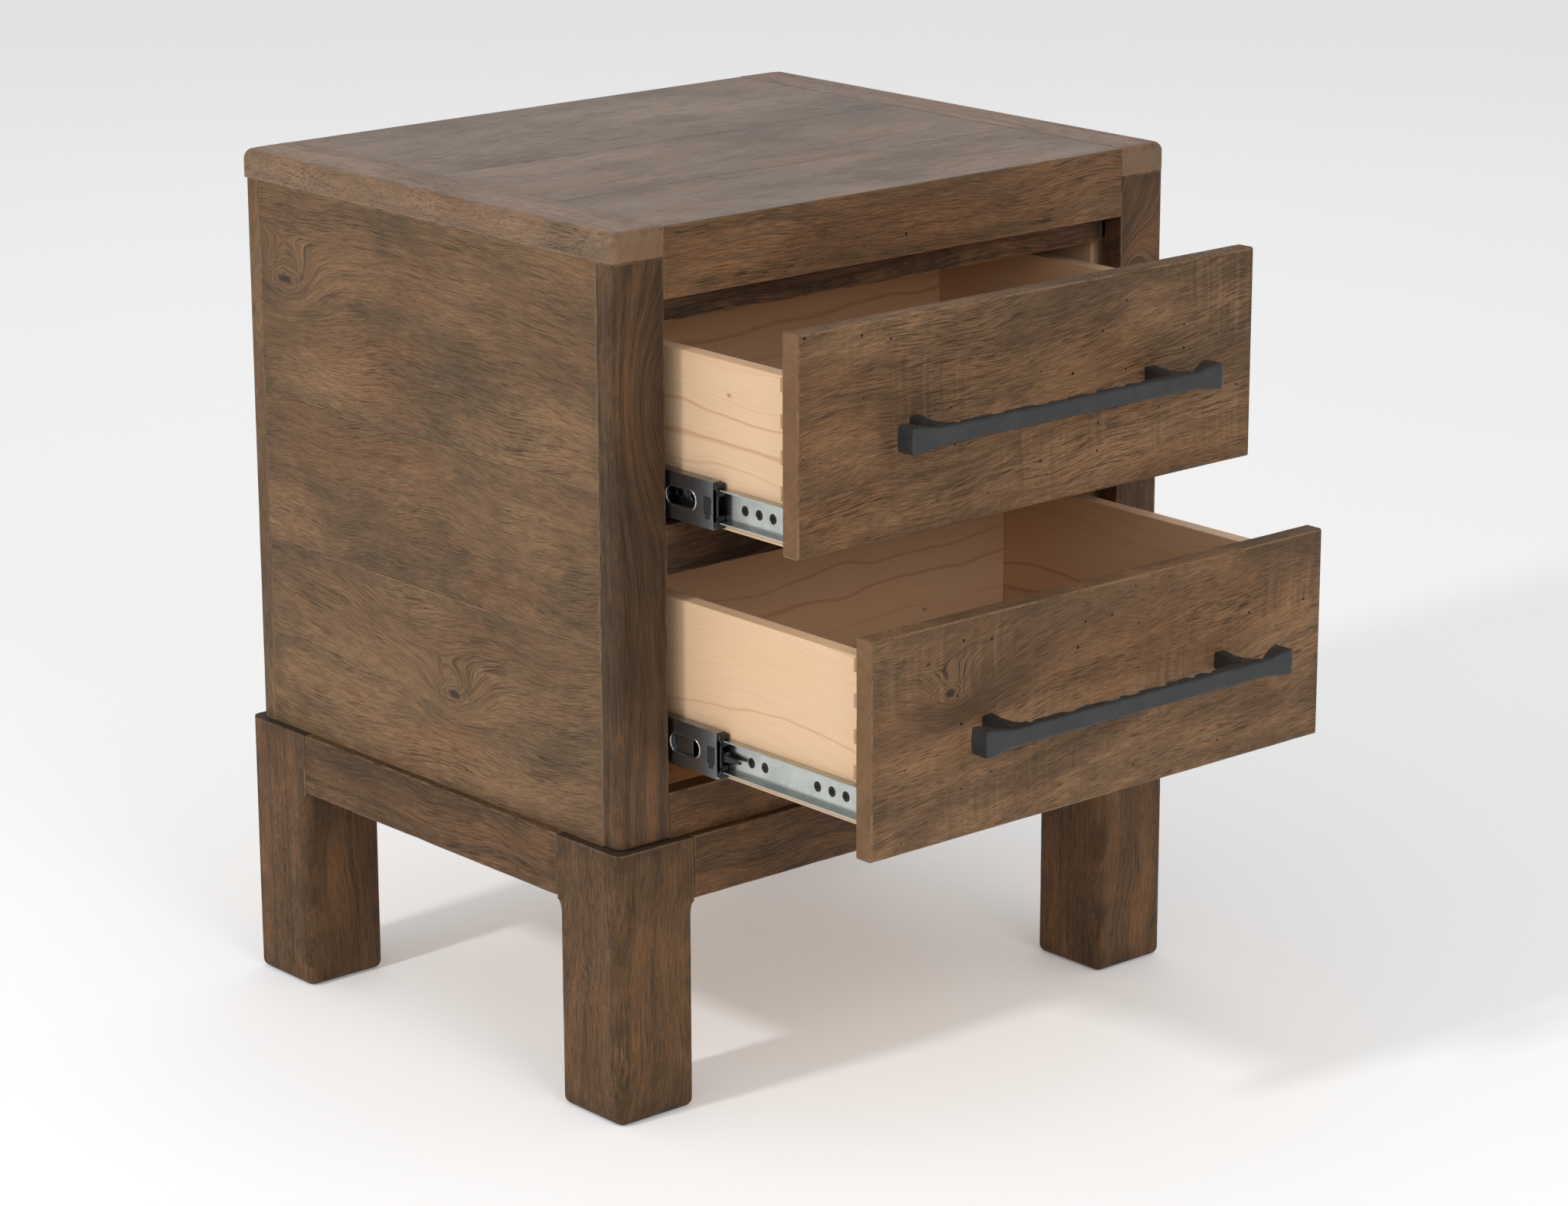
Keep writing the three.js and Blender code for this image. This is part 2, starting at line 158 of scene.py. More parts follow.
class Recipe:
    """Adds nodes to a shader or geometry tree."""

    def __init__(self, tree: bpy.types.NodeTree) -> None:
        """Keeps the tree that the nodes go into."""
        self.tree = tree

    def node(self, kind: str, settings: dict | None = None, values: dict | None = None) -> bpy.types.Node:
        """Adds one node.

        Args:
            kind: The node's type.
            settings: Its own properties, set first.
            values: Numbers, colours or terms for its inputs, by name or place.

        Returns:
            The node.
        """
        made = self.tree.nodes.new(kind)
        for name, value in (settings or {}).items():
            setattr(made, name, value)
        for name, value in (values or {}).items():
            self.feed(made.inputs[name], value)
        return made

    def feed(self, socket: bpy.types.NodeSocket, value: object) -> None:
        """Links a term to an input, or writes a plain value on it."""
        if isinstance(value, Term):
            self.tree.links.new(value.socket, socket)
        elif isinstance(value, tuple) and len(value) == 3 and socket.type == "RGBA":
            socket.default_value = (*value, 1.0)
        else:
            socket.default_value = value

    def term(self, kind: str, settings: dict | None = None, values: dict | None = None,
             output: int | str = 0) -> Term:
        """Adds one node and returns one of its outputs as a term."""
        return Term(self, self.node(kind, settings, values).outputs[output])

    def math(self, operation: str, *values: Value) -> Term:
        """A Math node on one to three values."""
        return self.term("ShaderNodeMath", {"operation": operation}, dict(enumerate(values)))

    def smooth(self, value: Value, low: Value, high: Value) -> Term:
        """0 below low, 1 above high, and a smooth step between them."""
        return self.term("ShaderNodeMapRange", {"interpolation_type": "SMOOTHSTEP"},
                         {"Value": value, "From Min": low, "From Max": high})

    def vector(self, x: Value, y: Value, z: Value) -> Term:
        """Three numbers as one vector."""
        return self.term("ShaderNodeCombineXYZ", None, {"X": x, "Y": y, "Z": z})

    def split(self, vector: Term) -> tuple[Term, Term, Term]:
        """A vector's three numbers."""
        parts = self.node("ShaderNodeSeparateXYZ", None, {0: vector}).outputs
        return Term(self, parts[0]), Term(self, parts[1]), Term(self, parts[2])

    def mix(self, factor: Value, first: Term | Colour, second: Term | Colour) -> Term:
        """A colour between two colours."""
        return self.term("ShaderNodeMix", {"data_type": "RGBA"}, {0: factor, 6: first, 7: second}, 2)

    def grain(self, vector: Term, detail: float = 2.0, roughness: float = 0.5) -> Term:
        """Noise from 0 to 1 at a point that is already scaled."""
        values = {"Vector": vector, "Scale": 1.0, "Detail": detail, "Roughness": roughness}
        return self.term("ShaderNodeTexNoise", None, values)

    def bands(self, along: Term, detail: float = 2.0) -> Term:
        """Noise from 0 to 1 that varies along one number only."""
        values = {"W": along, "Scale": 1.0, "Detail": detail}
        return self.term("ShaderNodeTexNoise", {"noise_dimensions": "1D"}, values)

    def attribute(self, name: str) -> Term:
        """A vector stored on the mesh."""
        return self.term("ShaderNodeAttribute", {"attribute_name": name}, None, "Vector")

    def place(self) -> Term:
        """The point on the piece, in metres."""
        return self.term("ShaderNodeTexCoord", None, None, "Object")


def new_surface(name: str) -> tuple[bpy.types.Material, Recipe, bpy.types.Node]:
    """Starts a material.

    Args:
        name: The material's name.

    Returns:
        The material, a recipe for its tree, and its shader node.
    """
    material = bpy.data.materials.new(name)
    material.use_nodes = True
    return material, Recipe(material.node_tree), material.node_tree.nodes["Principled BSDF"]


# ---------------------------------------------------------------------------------------------
# Finishes
# ---------------------------------------------------------------------------------------------


class GrainMap:
    """Where a point lies on its own board, and how the grain runs there.

    The board's facts are stored on the mesh. "board" is the place from the board's middle, X along the
    grain and Z through its thickness. "board_half" is half the board's size, "board_knot" is a knot's
    place and radius, "board_heart" is the middle of the growth rings, and "board_seed" sets it apart
    from other boards.
    """

    def __init__(self, make: Recipe, slope: float) -> None:
        """Adds the nodes that every layer of the finish shares.

        Args:
            make: The finish's recipe.
            slope: How far the grain climbs along the board, as a share of its length.
        """
        self.make = make
        self.x, self.y, self.z = x, y, z = make.split(make.attribute("board"))
        kx, ky, kr = make.split(make.attribute("board_knot"))
        hx, hy, hz = make.split(make.attribute("board_heart"))
        self.sx, self.sy, sz = make.split(make.attribute("board_seed"))
        self.along, self.through = x + self.sx, z + sz
        self.drift = make.grain(self.stretched(3.0, 6.0, y + self.sy), 2.0) - 0.5
        wobble = make.grain(self.stretched(17.0, 34.0, y + self.sy), 1.0) - 0.5
        dx, dy = (x - kx) * 0.55, y - ky
        self.knot_reach = dx * dx + dy * dy
        self.knot_radius, self.knot_size = abs(kr), kr
        spread = self.knot_radius * self.knot_radius * -4.6 - 1e-7
        swirl = make.math("EXPONENT", self.knot_reach / spread) * self.knot_radius * 3.2
        self.level = y - x * slope + self.drift * (78 * MM) + wobble * (5 * MM) + swirl
        self.ring = make.math("SQRT", ((x - hx) * 0.11) ** 2 + (self.level - hy) ** 2 + (z - hz) ** 2)
        self.flow = self.level + self.ring * 0.28 + self.sy
        self.level_seeded = self.level + self.sy

    def stretched(self, fx: float, fy: float, across: Term) -> Term:
        """A point scaled by one number along the grain and by another across it."""
        return self.make.vector(self.along * fx, across * fy, self.through * fy)

    def edge_gaps(self) -> tuple[Term, Term]:
        """How far a point is from the board's ends, and from its nearest edge."""
        half = self.make.split(self.make.attribute("board_half"))
        gaps = [h - abs(p) for h, p in zip(half, (self.x, self.y, self.z))]
        near = self.make.math("MINIMUM", gaps[0], gaps[1])
        far = self.make.math("MAXIMUM", gaps[0], gaps[1])
        return gaps[0], self.make.math("MAXIMUM", near, self.make.math("MINIMUM", far, gaps[2]))


@dataclass(frozen=True)
class WeatheredWood:
    """Stained hardwood with open pores, smoky patches, knots, saw marks, rubbed edges, grime with painted
    shade beside its edges, and worm holes darkened with painted shade.

    A knot with a negative radius swirls the grain but has no dark core.
    """

    name: str
    light: Colour = (0.245, 0.136, 0.065)
    middle: Colour = (0.145, 0.077, 0.036)
    warm: Colour = (0.225, 0.104, 0.044)
    smoke: Colour = (0.080, 0.055, 0.030)
    pore: Colour = (0.028, 0.017, 0.009)
    worn: Colour = (0.40, 0.250, 0.140)
    rough: float = 0.62
    specular: float = 0.24
    saw_marks: float = 0.0
    worm_holes: float = 0.0
    rubbed: float = 0.30
    smoky: float = 0.75
    figure: float = 0.20
    pores: float = 0.85
    # How strongly grime and painted shade darken the wood beside its edges.
    edge_grime_and_shade: float = 0.45
    end_tone: float = 0.35
    end_colour: Colour = (0.262, 0.146, 0.071)
    relief: float = 0.55 * MM
    slope: float = 0.0

    def material(self) -> bpy.types.Material:
        """Builds the finish's node tree.

        Returns:
            The material.
        """
        material, make, shader = new_surface(self.name)
        grain = GrainMap(make, self.slope)
        clouds = make.grain(grain.stretched(7.0, 14.0, grain.level_seeded), 5.0, 0.66)
        colour, rings = self.stain(grain, clouds)
        colour, height, pores = self.open_pores(grain, colour, rings)
        colour, height = self.knot(grain, colour, height)
        if self.saw_marks > 0:
            colour, height = self.sawn(grain, colour, height)
        at_end, edge = grain.edge_gaps()
        end = 1.0 - make.smooth(at_end, 0.1 * MM, 1.2 * MM)
        colour = self.worn_edges(grain, colour, edge)
        colour = make.mix(end * self.end_tone, colour, self.end_colour)
        if self.worm_holes > 0:
            colour, height = self.bored(grain, colour, height, edge, end)
        make.feed(shader.inputs["Base Color"], colour)
        make.feed(shader.inputs["Roughness"], self.rough + pores * 0.20 + (clouds - 0.5) * 0.25)
        bump = make.term("ShaderNodeBump", None,
                         {"Strength": 0.75, "Distance": self.relief, "Height": height})
        make.feed(shader.inputs["Normal"], bump)
        shader.inputs["Specular IOR Level"].default_value = self.specular
        return material

    def stain(self, grain: GrainMap, clouds: Term) -> tuple[Term, Term]:
        """The stained wood before its pores.

        Args:
            grain: The board's grain.
            clouds: Broad soft patches, from 0 to 1.

        Returns:
            The colour, and the dark growth rings.
        """
        make, across = grain.make, grain.level_seeded
        rings = make.smooth(make.bands(grain.ring * 170.0 + grain.sx * 9.0, 3.0), 0.40, 0.68)
        tone = make.smooth(make.grain(grain.stretched(5.0, 16.0, across + 4.1), 4.0, 0.6), 0.34, 0.66)
        warm = make.smooth(make.grain(grain.stretched(6.0, 12.0, across + 9.3), 3.0), 0.46, 0.68)
        streak = make.grain(grain.stretched(9.0, 150.0, grain.flow + 3.3), 3.0, 0.6)
        colour = make.mix(tone, self.middle, self.light)
        colour = make.mix(warm * 0.55, colour, self.warm)
        colour = make.mix(make.smooth(streak, 0.46, 0.70) * 0.22, colour, self.smoke)
        colour = make.mix(rings * self.figure, colour, self.smoke)
        return make.mix(make.smooth(clouds, 0.46, 0.66) * self.smoky, colour, self.smoke), rings

    def open_pores(self, grain: GrainMap, colour: Term, rings: Term) -> tuple[Term, Term, Term]:
        """Pale fibres and short dark pores, gathered in clusters and along the rings.

        Args:
            grain: The board's grain.
            colour: The stained wood.
            rings: The dark growth rings.

        Returns:
            The colour, the height, and how much of a point is pore.
        """
        make, across = grain.make, grain.level_seeded
        fibre = make.grain(grain.stretched(26.0, 1100.0, grain.flow), 2.0)
        cluster = make.smooth(make.grain(grain.stretched(13.0, 30.0, across + 7.7), 4.0, 0.6), 0.38, 0.62)
        fine = make.smooth(make.grain(grain.stretched(90.0, 2500.0, grain.flow + 2.7), 1.0), 0.50, 0.61)
        coarse = make.smooth(make.grain(grain.stretched(52.0, 1750.0, grain.flow + 5.3), 1.0), 0.545, 0.615)
        fine = fine * (1.0 - cluster * 0.5)
        coarse = coarse * (cluster * 0.92 + 0.08) * (rings * 0.4 + 0.65)
        colour = make.mix(make.smooth(fibre, 0.35, 0.75) * 0.16, colour, self.worn)
        height = fibre * 0.25 - fine * 0.45 - coarse * 0.9
        pores = make.math("MINIMUM", fine * 0.50 + coarse * 0.85, 0.92) * self.pores
        return make.mix(pores, colour, self.pore), height, pores

    def knot(self, grain: GrainMap, colour: Term, height: Term) -> tuple[Term, Term]:
        """A knot's rings and dark core.

        Args:
            grain: The board's grain.
            colour: The wood so far.
            height: Its height so far.

        Returns:
            The colour and the height.
        """
        make = grain.make
        x, y, z = grain.x * 90.0 + grain.sx, grain.y * 90.0, grain.z * 90.0
        lump = make.grain(make.vector(x, y, z), 2.0) - 0.5
        from_knot = make.math("SQRT", grain.knot_reach) / (grain.knot_radius + 1e-6) + lump * 0.55
        is_knot = make.math("GREATER_THAN", grain.knot_size, 0.2 * MM)
        halo = (1.0 - make.smooth(from_knot, 0.75, 2.0)) * is_knot
        core = (1.0 - make.smooth(from_knot, 0.16, 0.50)) * is_knot
        year = make.smooth(make.bands(from_knot * 7.0 + lump * 2.0, 1.0), 0.35, 0.65)
        colour = make.mix(halo * 0.55, colour, make.mix(year, self.light, self.smoke))
        return make.mix(core * 0.9, colour, (0.030, 0.024, 0.020)), height - core * 0.8

    def sawn(self, grain: GrainMap, colour: Term, height: Term) -> tuple[Term, Term]:
        """Patches of saw marks across the grain.

        Args:
            grain: The board's grain.
            colour: The wood so far.
            height: Its height so far.

        Returns:
            The colour and the height.
        """
        make = grain.make
        wander = make.grain(grain.stretched(7.0, 12.0, grain.level + 1.9), 3.0)
        marks = make.bands((grain.x + grain.drift * 0.03 + wander * 0.02) * 190.0, 3.0) - 0.5
        marks = marks * make.smooth(wander, 0.44, 0.62) * self.saw_marks
        colour = make.mix(make.math("MAXIMUM", marks, 0.0) * 0.9, colour, self.worn)
        return make.mix(make.math("MAXIMUM", -marks, 0.0) * 3.0, colour, self.smoke), height + marks * 1.2

    def worn_edges(self, grain: GrainMap, colour: Term, edge: Term) -> Term:
        """Grime with painted shade beside the edges, and rubbed wood on them.

        Args:
            grain: The board's grain.
            colour: The wood so far.
            edge: How far a point is from the nearest edge.

        Returns:
            The colour.
        """
        make = grain.make
        spots = make.vector(grain.along * 42.0, grain.level * 42.0, grain.through * 42.0)
        patchy = make.grain(spots, 3.0, 0.6)
        rub = (1.0 - make.smooth(edge, 0.3 * MM, 2.2 * MM)) * make.smooth(patchy, 0.42, 0.60)
        # Grime and painted shade: patchy darkening within 20 mm of every edge.
        grime_and_shade = (1.0 - make.smooth(edge, 0.5 * MM, 20 * MM)) * make.smooth(patchy, 0.36, 0.62)
        colour = make.mix(grime_and_shade * self.edge_grime_and_shade, colour, self.smoke)
        return make.mix(rub * self.rubbed, colour, self.worn)

    def bored(self, grain: GrainMap, colour: Term, height: Term, edge: Term, end: Term) -> tuple[Term, Term]:
        """Small worm holes in the board's faces, coloured near black as painted shade inside them.

        Args:
            grain: The board's grain.
            colour: The wood so far.
            height: Its height so far.
            edge: How far a point is from the nearest edge.
            end: 1 on the board's end grain.

        Returns:
            The colour and the height.
        """
        make = grain.make
        spots = make.node("ShaderNodeTexVoronoi", {"voronoi_dimensions": "2D"},
                          {"Vector": make.vector(grain.along, grain.y + grain.sy, 0.0), "Scale": 34.0})
        lottery = make.split(Term(make, spots.outputs["Color"]))
        here = make.math("GREATER_THAN", lottery[0], 1.0 - self.worm_holes)
        size = 0.022 + lottery[1] * 0.022
        hole = 1.0 - make.smooth(Term(make, spots.outputs["Distance"]) / size, 0.75, 1.1)
        hole = hole * here * make.smooth(edge, 0.6 * MM, 1.5 * MM) * (1.0 - end)
        # The near-black colour is painted shade inside each hole.
        return make.mix(hole, colour, (0.006, 0.004, 0.003)), height - hole * 3.0


@dataclass(frozen=True)
class ClearPine:
    """Clear-lacquered pine with broad, wavy growth rings and a few pin knots."""

    name: str
    early: Colour = (0.715, 0.495, 0.312)
    late: Colour = (0.51, 0.270, 0.142)
    rough: float = 0.48
    spacing: float = 54.0
    contrast: float = 0.66

    def material(self) -> bpy.types.Material:
        """Builds the finish's node tree.

        Returns:
            The material.
        """
        material, make, shader = new_surface(self.name)
        x, y, z = make.split(make.attribute("board"))
        hx, hy, hz = make.split(make.attribute("board_heart"))
        sx, sy, sz = make.split(make.attribute("board_seed"))
        drift = make.grain(make.vector((x + sx) * 7.0, (y + sy) * 13.0, (z + sz) * 13.0), 2.0) - 0.5
        level = y + drift * (40 * MM)
        ring = make.math("SQRT", ((x - hx) * 0.08) ** 2 + (level - hy) ** 2 + (z - hz) ** 2)
        year = make.math("FRACT", ring * self.spacing + make.bands(ring * 30.0 + sx, 1.0) * 2.4)
        late = make.smooth(year, 0.78, 0.95) * (1.0 - make.smooth(year, 0.955, 0.995))
        strength = make.smooth(make.bands(ring * 24.0 + sy, 1.0), 0.36, 0.66)
        fibre = make.grain(make.vector((x + sx) * 16.0, (level + sy) * 620.0, (z + sz) * 620.0), 2.0)
        tone = make.grain(make.vector((x + sx) * 3.0, (y + sy) * 9.0, (z + sz) * 9.0), 2.0)
        colour = make.mix(make.smooth(tone, 0.35, 0.7) * 0.45, self.early, (0.74, 0.475, 0.275))
        colour = make.mix(late * (strength * 0.8 + 0.25) * self.contrast, colour, self.late)
        colour = make.mix(make.smooth(fibre, 0.40, 0.72) * 0.14, colour, self.late)
        dots = make.node("ShaderNodeTexVoronoi", {"voronoi_dimensions": "2D"},
                         {"Vector": make.vector((x + sx) * 0.6, y + sy, 0.0), "Scale": 20.0})
        lottery = make.split(Term(make, dots.outputs["Color"]))
        here = make.math("GREATER_THAN", lottery[0], 0.88)
        pin = (1.0 - make.smooth(Term(make, dots.outputs["Distance"]), 0.015, 0.045)) * here
        colour = make.mix(pin * 0.6, colour, (0.28, 0.13, 0.055))
        make.feed(shader.inputs["Base Color"], colour)
        make.feed(shader.inputs["Roughness"], self.rough + late * 0.08 + (fibre - 0.5) * 0.2)
        bump = make.term("ShaderNodeBump", None,
                         {"Strength": 0.5, "Distance": 0.2 * MM, "Height": fibre - late * 0.8})
        make.feed(shader.inputs["Normal"], bump)
        shader.inputs["Specular IOR Level"].default_value = 0.4
        return material


@dataclass(frozen=True)
class Metal:
    """An even surface with fine speckle, blotches and drawn streaks: metal, plastic or sawn end grain."""

    name: str
    base: Colour
    spot: Colour
    metallic: float
    rough: float
    speckle: float = 900.0
    streak: float = 0.0
    relief: float = 0.15 * MM
    blotch: float = 0.5
    grit: float = 0.30

    def material(self) -> bpy.types.Material:
        """Builds the finish's node tree.

        Returns:
            The material.
        """
        material, make, shader = new_surface(self.name)
        x, y, z = make.split(make.place())
        grit = make.grain(make.vector(x * self.speckle, y * self.speckle, z * self.speckle), 2.0, 0.6)
        blotch = make.grain(make.vector(x * 45.0, y * 45.0, z * 45.0), 3.0, 0.6)
        drawn = make.grain(make.vector(x * 1400.0, y * 22.0, z * 1400.0), 2.0)
        colour = make.mix(make.smooth(blotch, 0.40, 0.68) * self.blotch, self.base, self.spot)
        colour = make.mix(make.smooth(grit, 0.55, 0.75) * self.grit, colour, self.spot)
        make.feed(shader.inputs["Base Color"], colour)
        uneven = (grit - 0.5) * self.grit * 0.6 + (blotch - 0.5) * 0.20 + (drawn - 0.5) * self.streak
        make.feed(shader.inputs["Roughness"], self.rough + uneven)
        height = grit * self.grit * 2.0 + blotch * 0.8 + drawn * self.streak
        bump = make.term("ShaderNodeBump", None,
                         {"Strength": 0.5, "Distance": self.relief, "Height": height})
        make.feed(shader.inputs["Normal"], bump)
        shader.inputs["Metallic"].default_value = self.metallic
        return material


FINISHES = {
    Finish.CASE: WeatheredWood("weathered_case_wood"),
    Finish.TOP: WeatheredWood("satin_top_wood", rough=0.44, specular=0.50, relief=0.25 * MM, smoky=0.70,
                              figure=0.15, pores=0.55, light=(0.226, 0.141, 0.082),
                              middle=(0.158, 0.097, 0.057), smoke=(0.084, 0.062, 0.043)),
    Finish.PINE: ClearPine("clear_pine"),
    Finish.PLY: ClearPine("plain_plywood", (0.66, 0.44, 0.255), (0.50, 0.29, 0.14), 0.62, 34.0, 0.5),
    Finish.IRON: Metal("charcoal_iron", (0.022, 0.024, 0.025), (0.044, 0.044, 0.043), 0.25, 0.40),
    Finish.ZINC: Metal("bright_zinc", (0.50, 0.52, 0.49), (0.36, 0.38, 0.37), 1.0, 0.24, streak=0.10,
                       relief=0.03 * MM, grit=0.06),
    Finish.DARK_STEEL: Metal("dark_steel", (0.29, 0.30, 0.32), (0.14, 0.145, 0.155), 1.0, 0.30,
                             streak=0.06, relief=0.03 * MM, grit=0.10),
    Finish.PLASTIC: Metal("black_plastic", (0.010, 0.010, 0.011), (0.018, 0.018, 0.019), 0.0, 0.42),
}
BLACKED_STEEL = Metal("blacked_steel", (0.040, 0.042, 0.040), (0.015, 0.015, 0.015), 0.9, 0.30)
PINE_END_GRAIN = Metal("pine_end_grain", (0.46, 0.26, 0.135), (0.33, 0.17, 0.08), 0.0, 0.65)
DRAWER_FRONT_WOOD = WeatheredWood("saw_marked_front_wood", saw_marks=0.62, worm_holes=0.34, rubbed=0.60,
                                  light=(0.325, 0.175, 0.082), middle=(0.132, 0.068, 0.031), figure=0.24,
                                  end_tone=0.4, end_colour=(0.230, 0.124, 0.058), pores=0.92,
                                  warm=(0.290, 0.135, 0.054), smoke=(0.082, 0.050, 0.027), smoky=0.62,
                                  slope=0.09)
RAIL_WOOD = WeatheredWood("rail_wood", worm_holes=0.10, figure=0.34, light=(0.315, 0.161, 0.075),
                          middle=(0.188, 0.089, 0.039), smoky=0.42, pores=0.9)
STILE_WOOD = WeatheredWood("stile_wood", light=(0.116, 0.058, 0.024), middle=(0.062, 0.030, 0.012),
                           smoke=(0.034, 0.022, 0.013), figure=0.65, smoky=0.45, pores=0.6)
# Painted shade for the low pieces: colours darker for the dimmer light under the case, a near-black end
# colour painting the shadow line at the leg tops and the contact shade at the feet, and heavier edge grime as
# painted shade.
SHADED_BASE_WOOD = WeatheredWood("base_wood_painted_shade", light=(0.184, 0.089, 0.034), middle=(0.104, 0.049, 0.018),
                          smoke=(0.043, 0.026, 0.012), rubbed=0.40, edge_grime_and_shade=0.6, figure=0.48, smoky=0.6,
                          end_tone=0.85, end_colour=(0.035, 0.023, 0.014))
# The stop rail sits in the recess behind the top rail. Its strong figure is real dark wood, while its
# near-black smoke colour and heavy edge grime are painted shade from that recess.
RECESS_SHADED_STOP_WOOD = WeatheredWood("stop_rail_wood_painted_shade", light=(0.215, 0.108, 0.049), middle=(0.110, 0.053, 0.024),
                          smoke=(0.020, 0.012, 0.007), figure=0.7, rubbed=0.5, edge_grime_and_shade=0.6)
# The middle rail sits under the upper drawer. Its very dark colours are painted shade from the drawer above
# it.
SHADED_DIVIDER_WOOD = WeatheredWood("divider_wood_painted_shade", light=(0.085, 0.044, 0.020), middle=(0.045, 0.022, 0.010),
                             smoke=(0.018, 0.011, 0.006), figure=0.7, pores=0.9)
END_BOARD_WOOD = WeatheredWood("satin_end_wood", rough=0.44, specular=0.46, relief=0.3 * MM, smoky=0.50,
                               figure=0.30, pores=1.0, light=(0.290, 0.163, 0.083),
                               middle=(0.195, 0.104, 0.050), edge_grime_and_shade=0.30)


class Palette:
    """Builds each material once and gives it out by finish."""

    def __init__(self) -> None:
        """Starts with no material built."""
        self.made: dict[str, bpy.types.Material] = {}

    def of(self, finish: WeatheredWood | ClearPine | Metal) -> bpy.types.Material:
        """The material of a finish, built on first use."""
        if finish.name not in self.made:
            self.made[finish.name] = finish.material()
        return self.made[finish.name]


# ---------------------------------------------------------------------------------------------
# Pieces
# ---------------------------------------------------------------------------------------------


class Workshop:
    """Puts finished pieces on their bodies and keeps the tools that several sub-assemblies share."""

    def __init__(self, frame: dict) -> None:
        """Keeps the frame and starts an empty palette."""
        self.frame = frame
        self.palette = Palette()
        groups = frame["record"]["behaviour"]["bodies"]
        self.body_of = {node: body for body, members in groups.items() for node in members}

    def finish(self, slot: Finish) -> bpy.types.Material:
        """The material of a slot."""
        return self.palette.of(FINISHES[slot])

    def mount(self, name: str, mesh: bpy.types.Mesh, material: bpy.types.Material | None, body: str,
              slot: Finish, *nodes: str) -> None:
        """Makes a piece of a mesh and fixes it to a body.

        Args:
            name: The piece's name.
            mesh: Its finished mesh.
            material: Its material, or None where the mesh has its own.
            body: The body that it moves with.
            slot: The record's slot that its finish comes from; not used.
            nodes: The frame's nodes that it stands for.
        """
        piece = self.new_object(name, mesh, material)
        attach(piece, body)
        if nodes:
            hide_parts(*nodes)
        LOG.info("%s on %s: %d faces", piece.name, body, len(piece.data.polygons))

    @staticmethod
    def new_object(name: str, mesh: bpy.types.Mesh, material: bpy.types.Material | None) -> bpy.types.Object:
        """Links a mesh to the scene as an object with one material."""
        made = bpy.data.objects.new(name, mesh)
        bpy.context.scene.collection.objects.link(made)
        if material is not None:
            mesh.materials.clear()
            mesh.materials.append(material)
        return made

    def shape_of(self, node: str) -> bmesh.types.BMesh:
        """A node's shape with its flat faces whole again.

        Args:
            node: The frame's node.

        Returns:
            A new bmesh, to be freed by the caller.
        """
        shape = bmesh.new()
        shape.from_mesh(self.frame["nodes"][node].data)
        bmesh.ops.remove_doubles(shape, verts=shape.verts, dist=1e-5)
        bmesh.ops.dissolve_limit(shape, angle_limit=math.radians(1.0), verts=shape.verts, edges=shape.edges)
        return shape


def ease_edges(shape: bmesh.types.BMesh, width: float, segments: int = 2, sharper_than: float = 30.0) -> None:
    """Rounds every edge that turns by more than an angle.

    Args:
        shape: The shape to change.
        width: How far the rounding reaches.
        segments: Faces across it.
        sharper_than: The least angle that counts as an edge, in degrees.
    """
    limit = math.radians(sharper_than)
    sharp = [e for e in shape.edges if e.is_manifold and e.calc_face_angle(0.0) > limit]
    bmesh.ops.bevel(shape, geom=sharp, offset=width, offset_type="OFFSET", segments=segments,
                    profile=0.5, affect="EDGES", clamp_overlap=True)


def weight_normals(mesh: bpy.types.Mesh) -> None:
    """Shades a mesh smoothly with normals weighted by face area, so that flat faces stay flat."""
    mesh.shade_smooth()
    faces = len(mesh.polygons)
    normal, area = np.zeros(faces * 3), np.zeros(faces)
    corners = np.zeros(faces, int)
    corner_vertex = np.zeros(len(mesh.loops), int)
    mesh.polygons.foreach_get("normal", normal)
    mesh.polygons.foreach_get("area", area)
    mesh.polygons.foreach_get("loop_total", corners)
    mesh.loops.foreach_get("vertex_index", corner_vertex)
    weighted = normal.reshape(-1, 3) * area[:, None]
    total = np.zeros((len(mesh.vertices), 3))
    np.add.at(total, corner_vertex, np.repeat(weighted, corners, axis=0))
    length = np.maximum(np.linalg.norm(total, axis=1, keepdims=True), 1e-12)
    mesh.normals_split_custom_set_from_vertices(total / length)


def finished_mesh(shape: bmesh.types.BMesh, name: str) -> bpy.types.Mesh:
    """Turns a shape into a smoothly shaded mesh and frees the shape."""
    mesh = bpy.data.meshes.new(name)
    shape.to_mesh(mesh)
    shape.free()
    weight_normals(mesh)
    return mesh


@dataclass(frozen=True)
class Rounding:
    """A generous round-over along the outline of one end of a piece.

    A side is an axis with -1 for its low end or 1 for its high end. Edges on a kept side stay sharp.
    """

    outline: tuple[Axis, int]
    kept: tuple[tuple[Axis, int], ...] = ()
    radius: float = 7 * MM
    segments: int = 5

    def apply(self, shape: bmesh.types.BMesh) -> None:
        """Rounds the edges of a shape."""
        corners = np.array([v.co for v in shape.verts])
        ends = {-1: corners.min(0), 1: corners.max(0)}

        def lies_on(edge: bmesh.types.BMEdge, side: tuple[Axis, int]) -> bool:
            """Whether an edge lies on one side of the shape's box."""
            axis, end = side
            return all(abs(v.co[axis.value] - ends[end][axis.value]) < 0.05 * MM for v in edge.verts)

        chosen = [e for e in shape.edges
                  if lies_on(e, self.outline) and not any(lies_on(e, side) for side in self.kept)]
        bmesh.ops.bevel(shape, geom=chosen, offset=self.radius, offset_type="OFFSET",
                        segments=self.segments, profile=0.5, affect="EDGES", clamp_overlap=True)


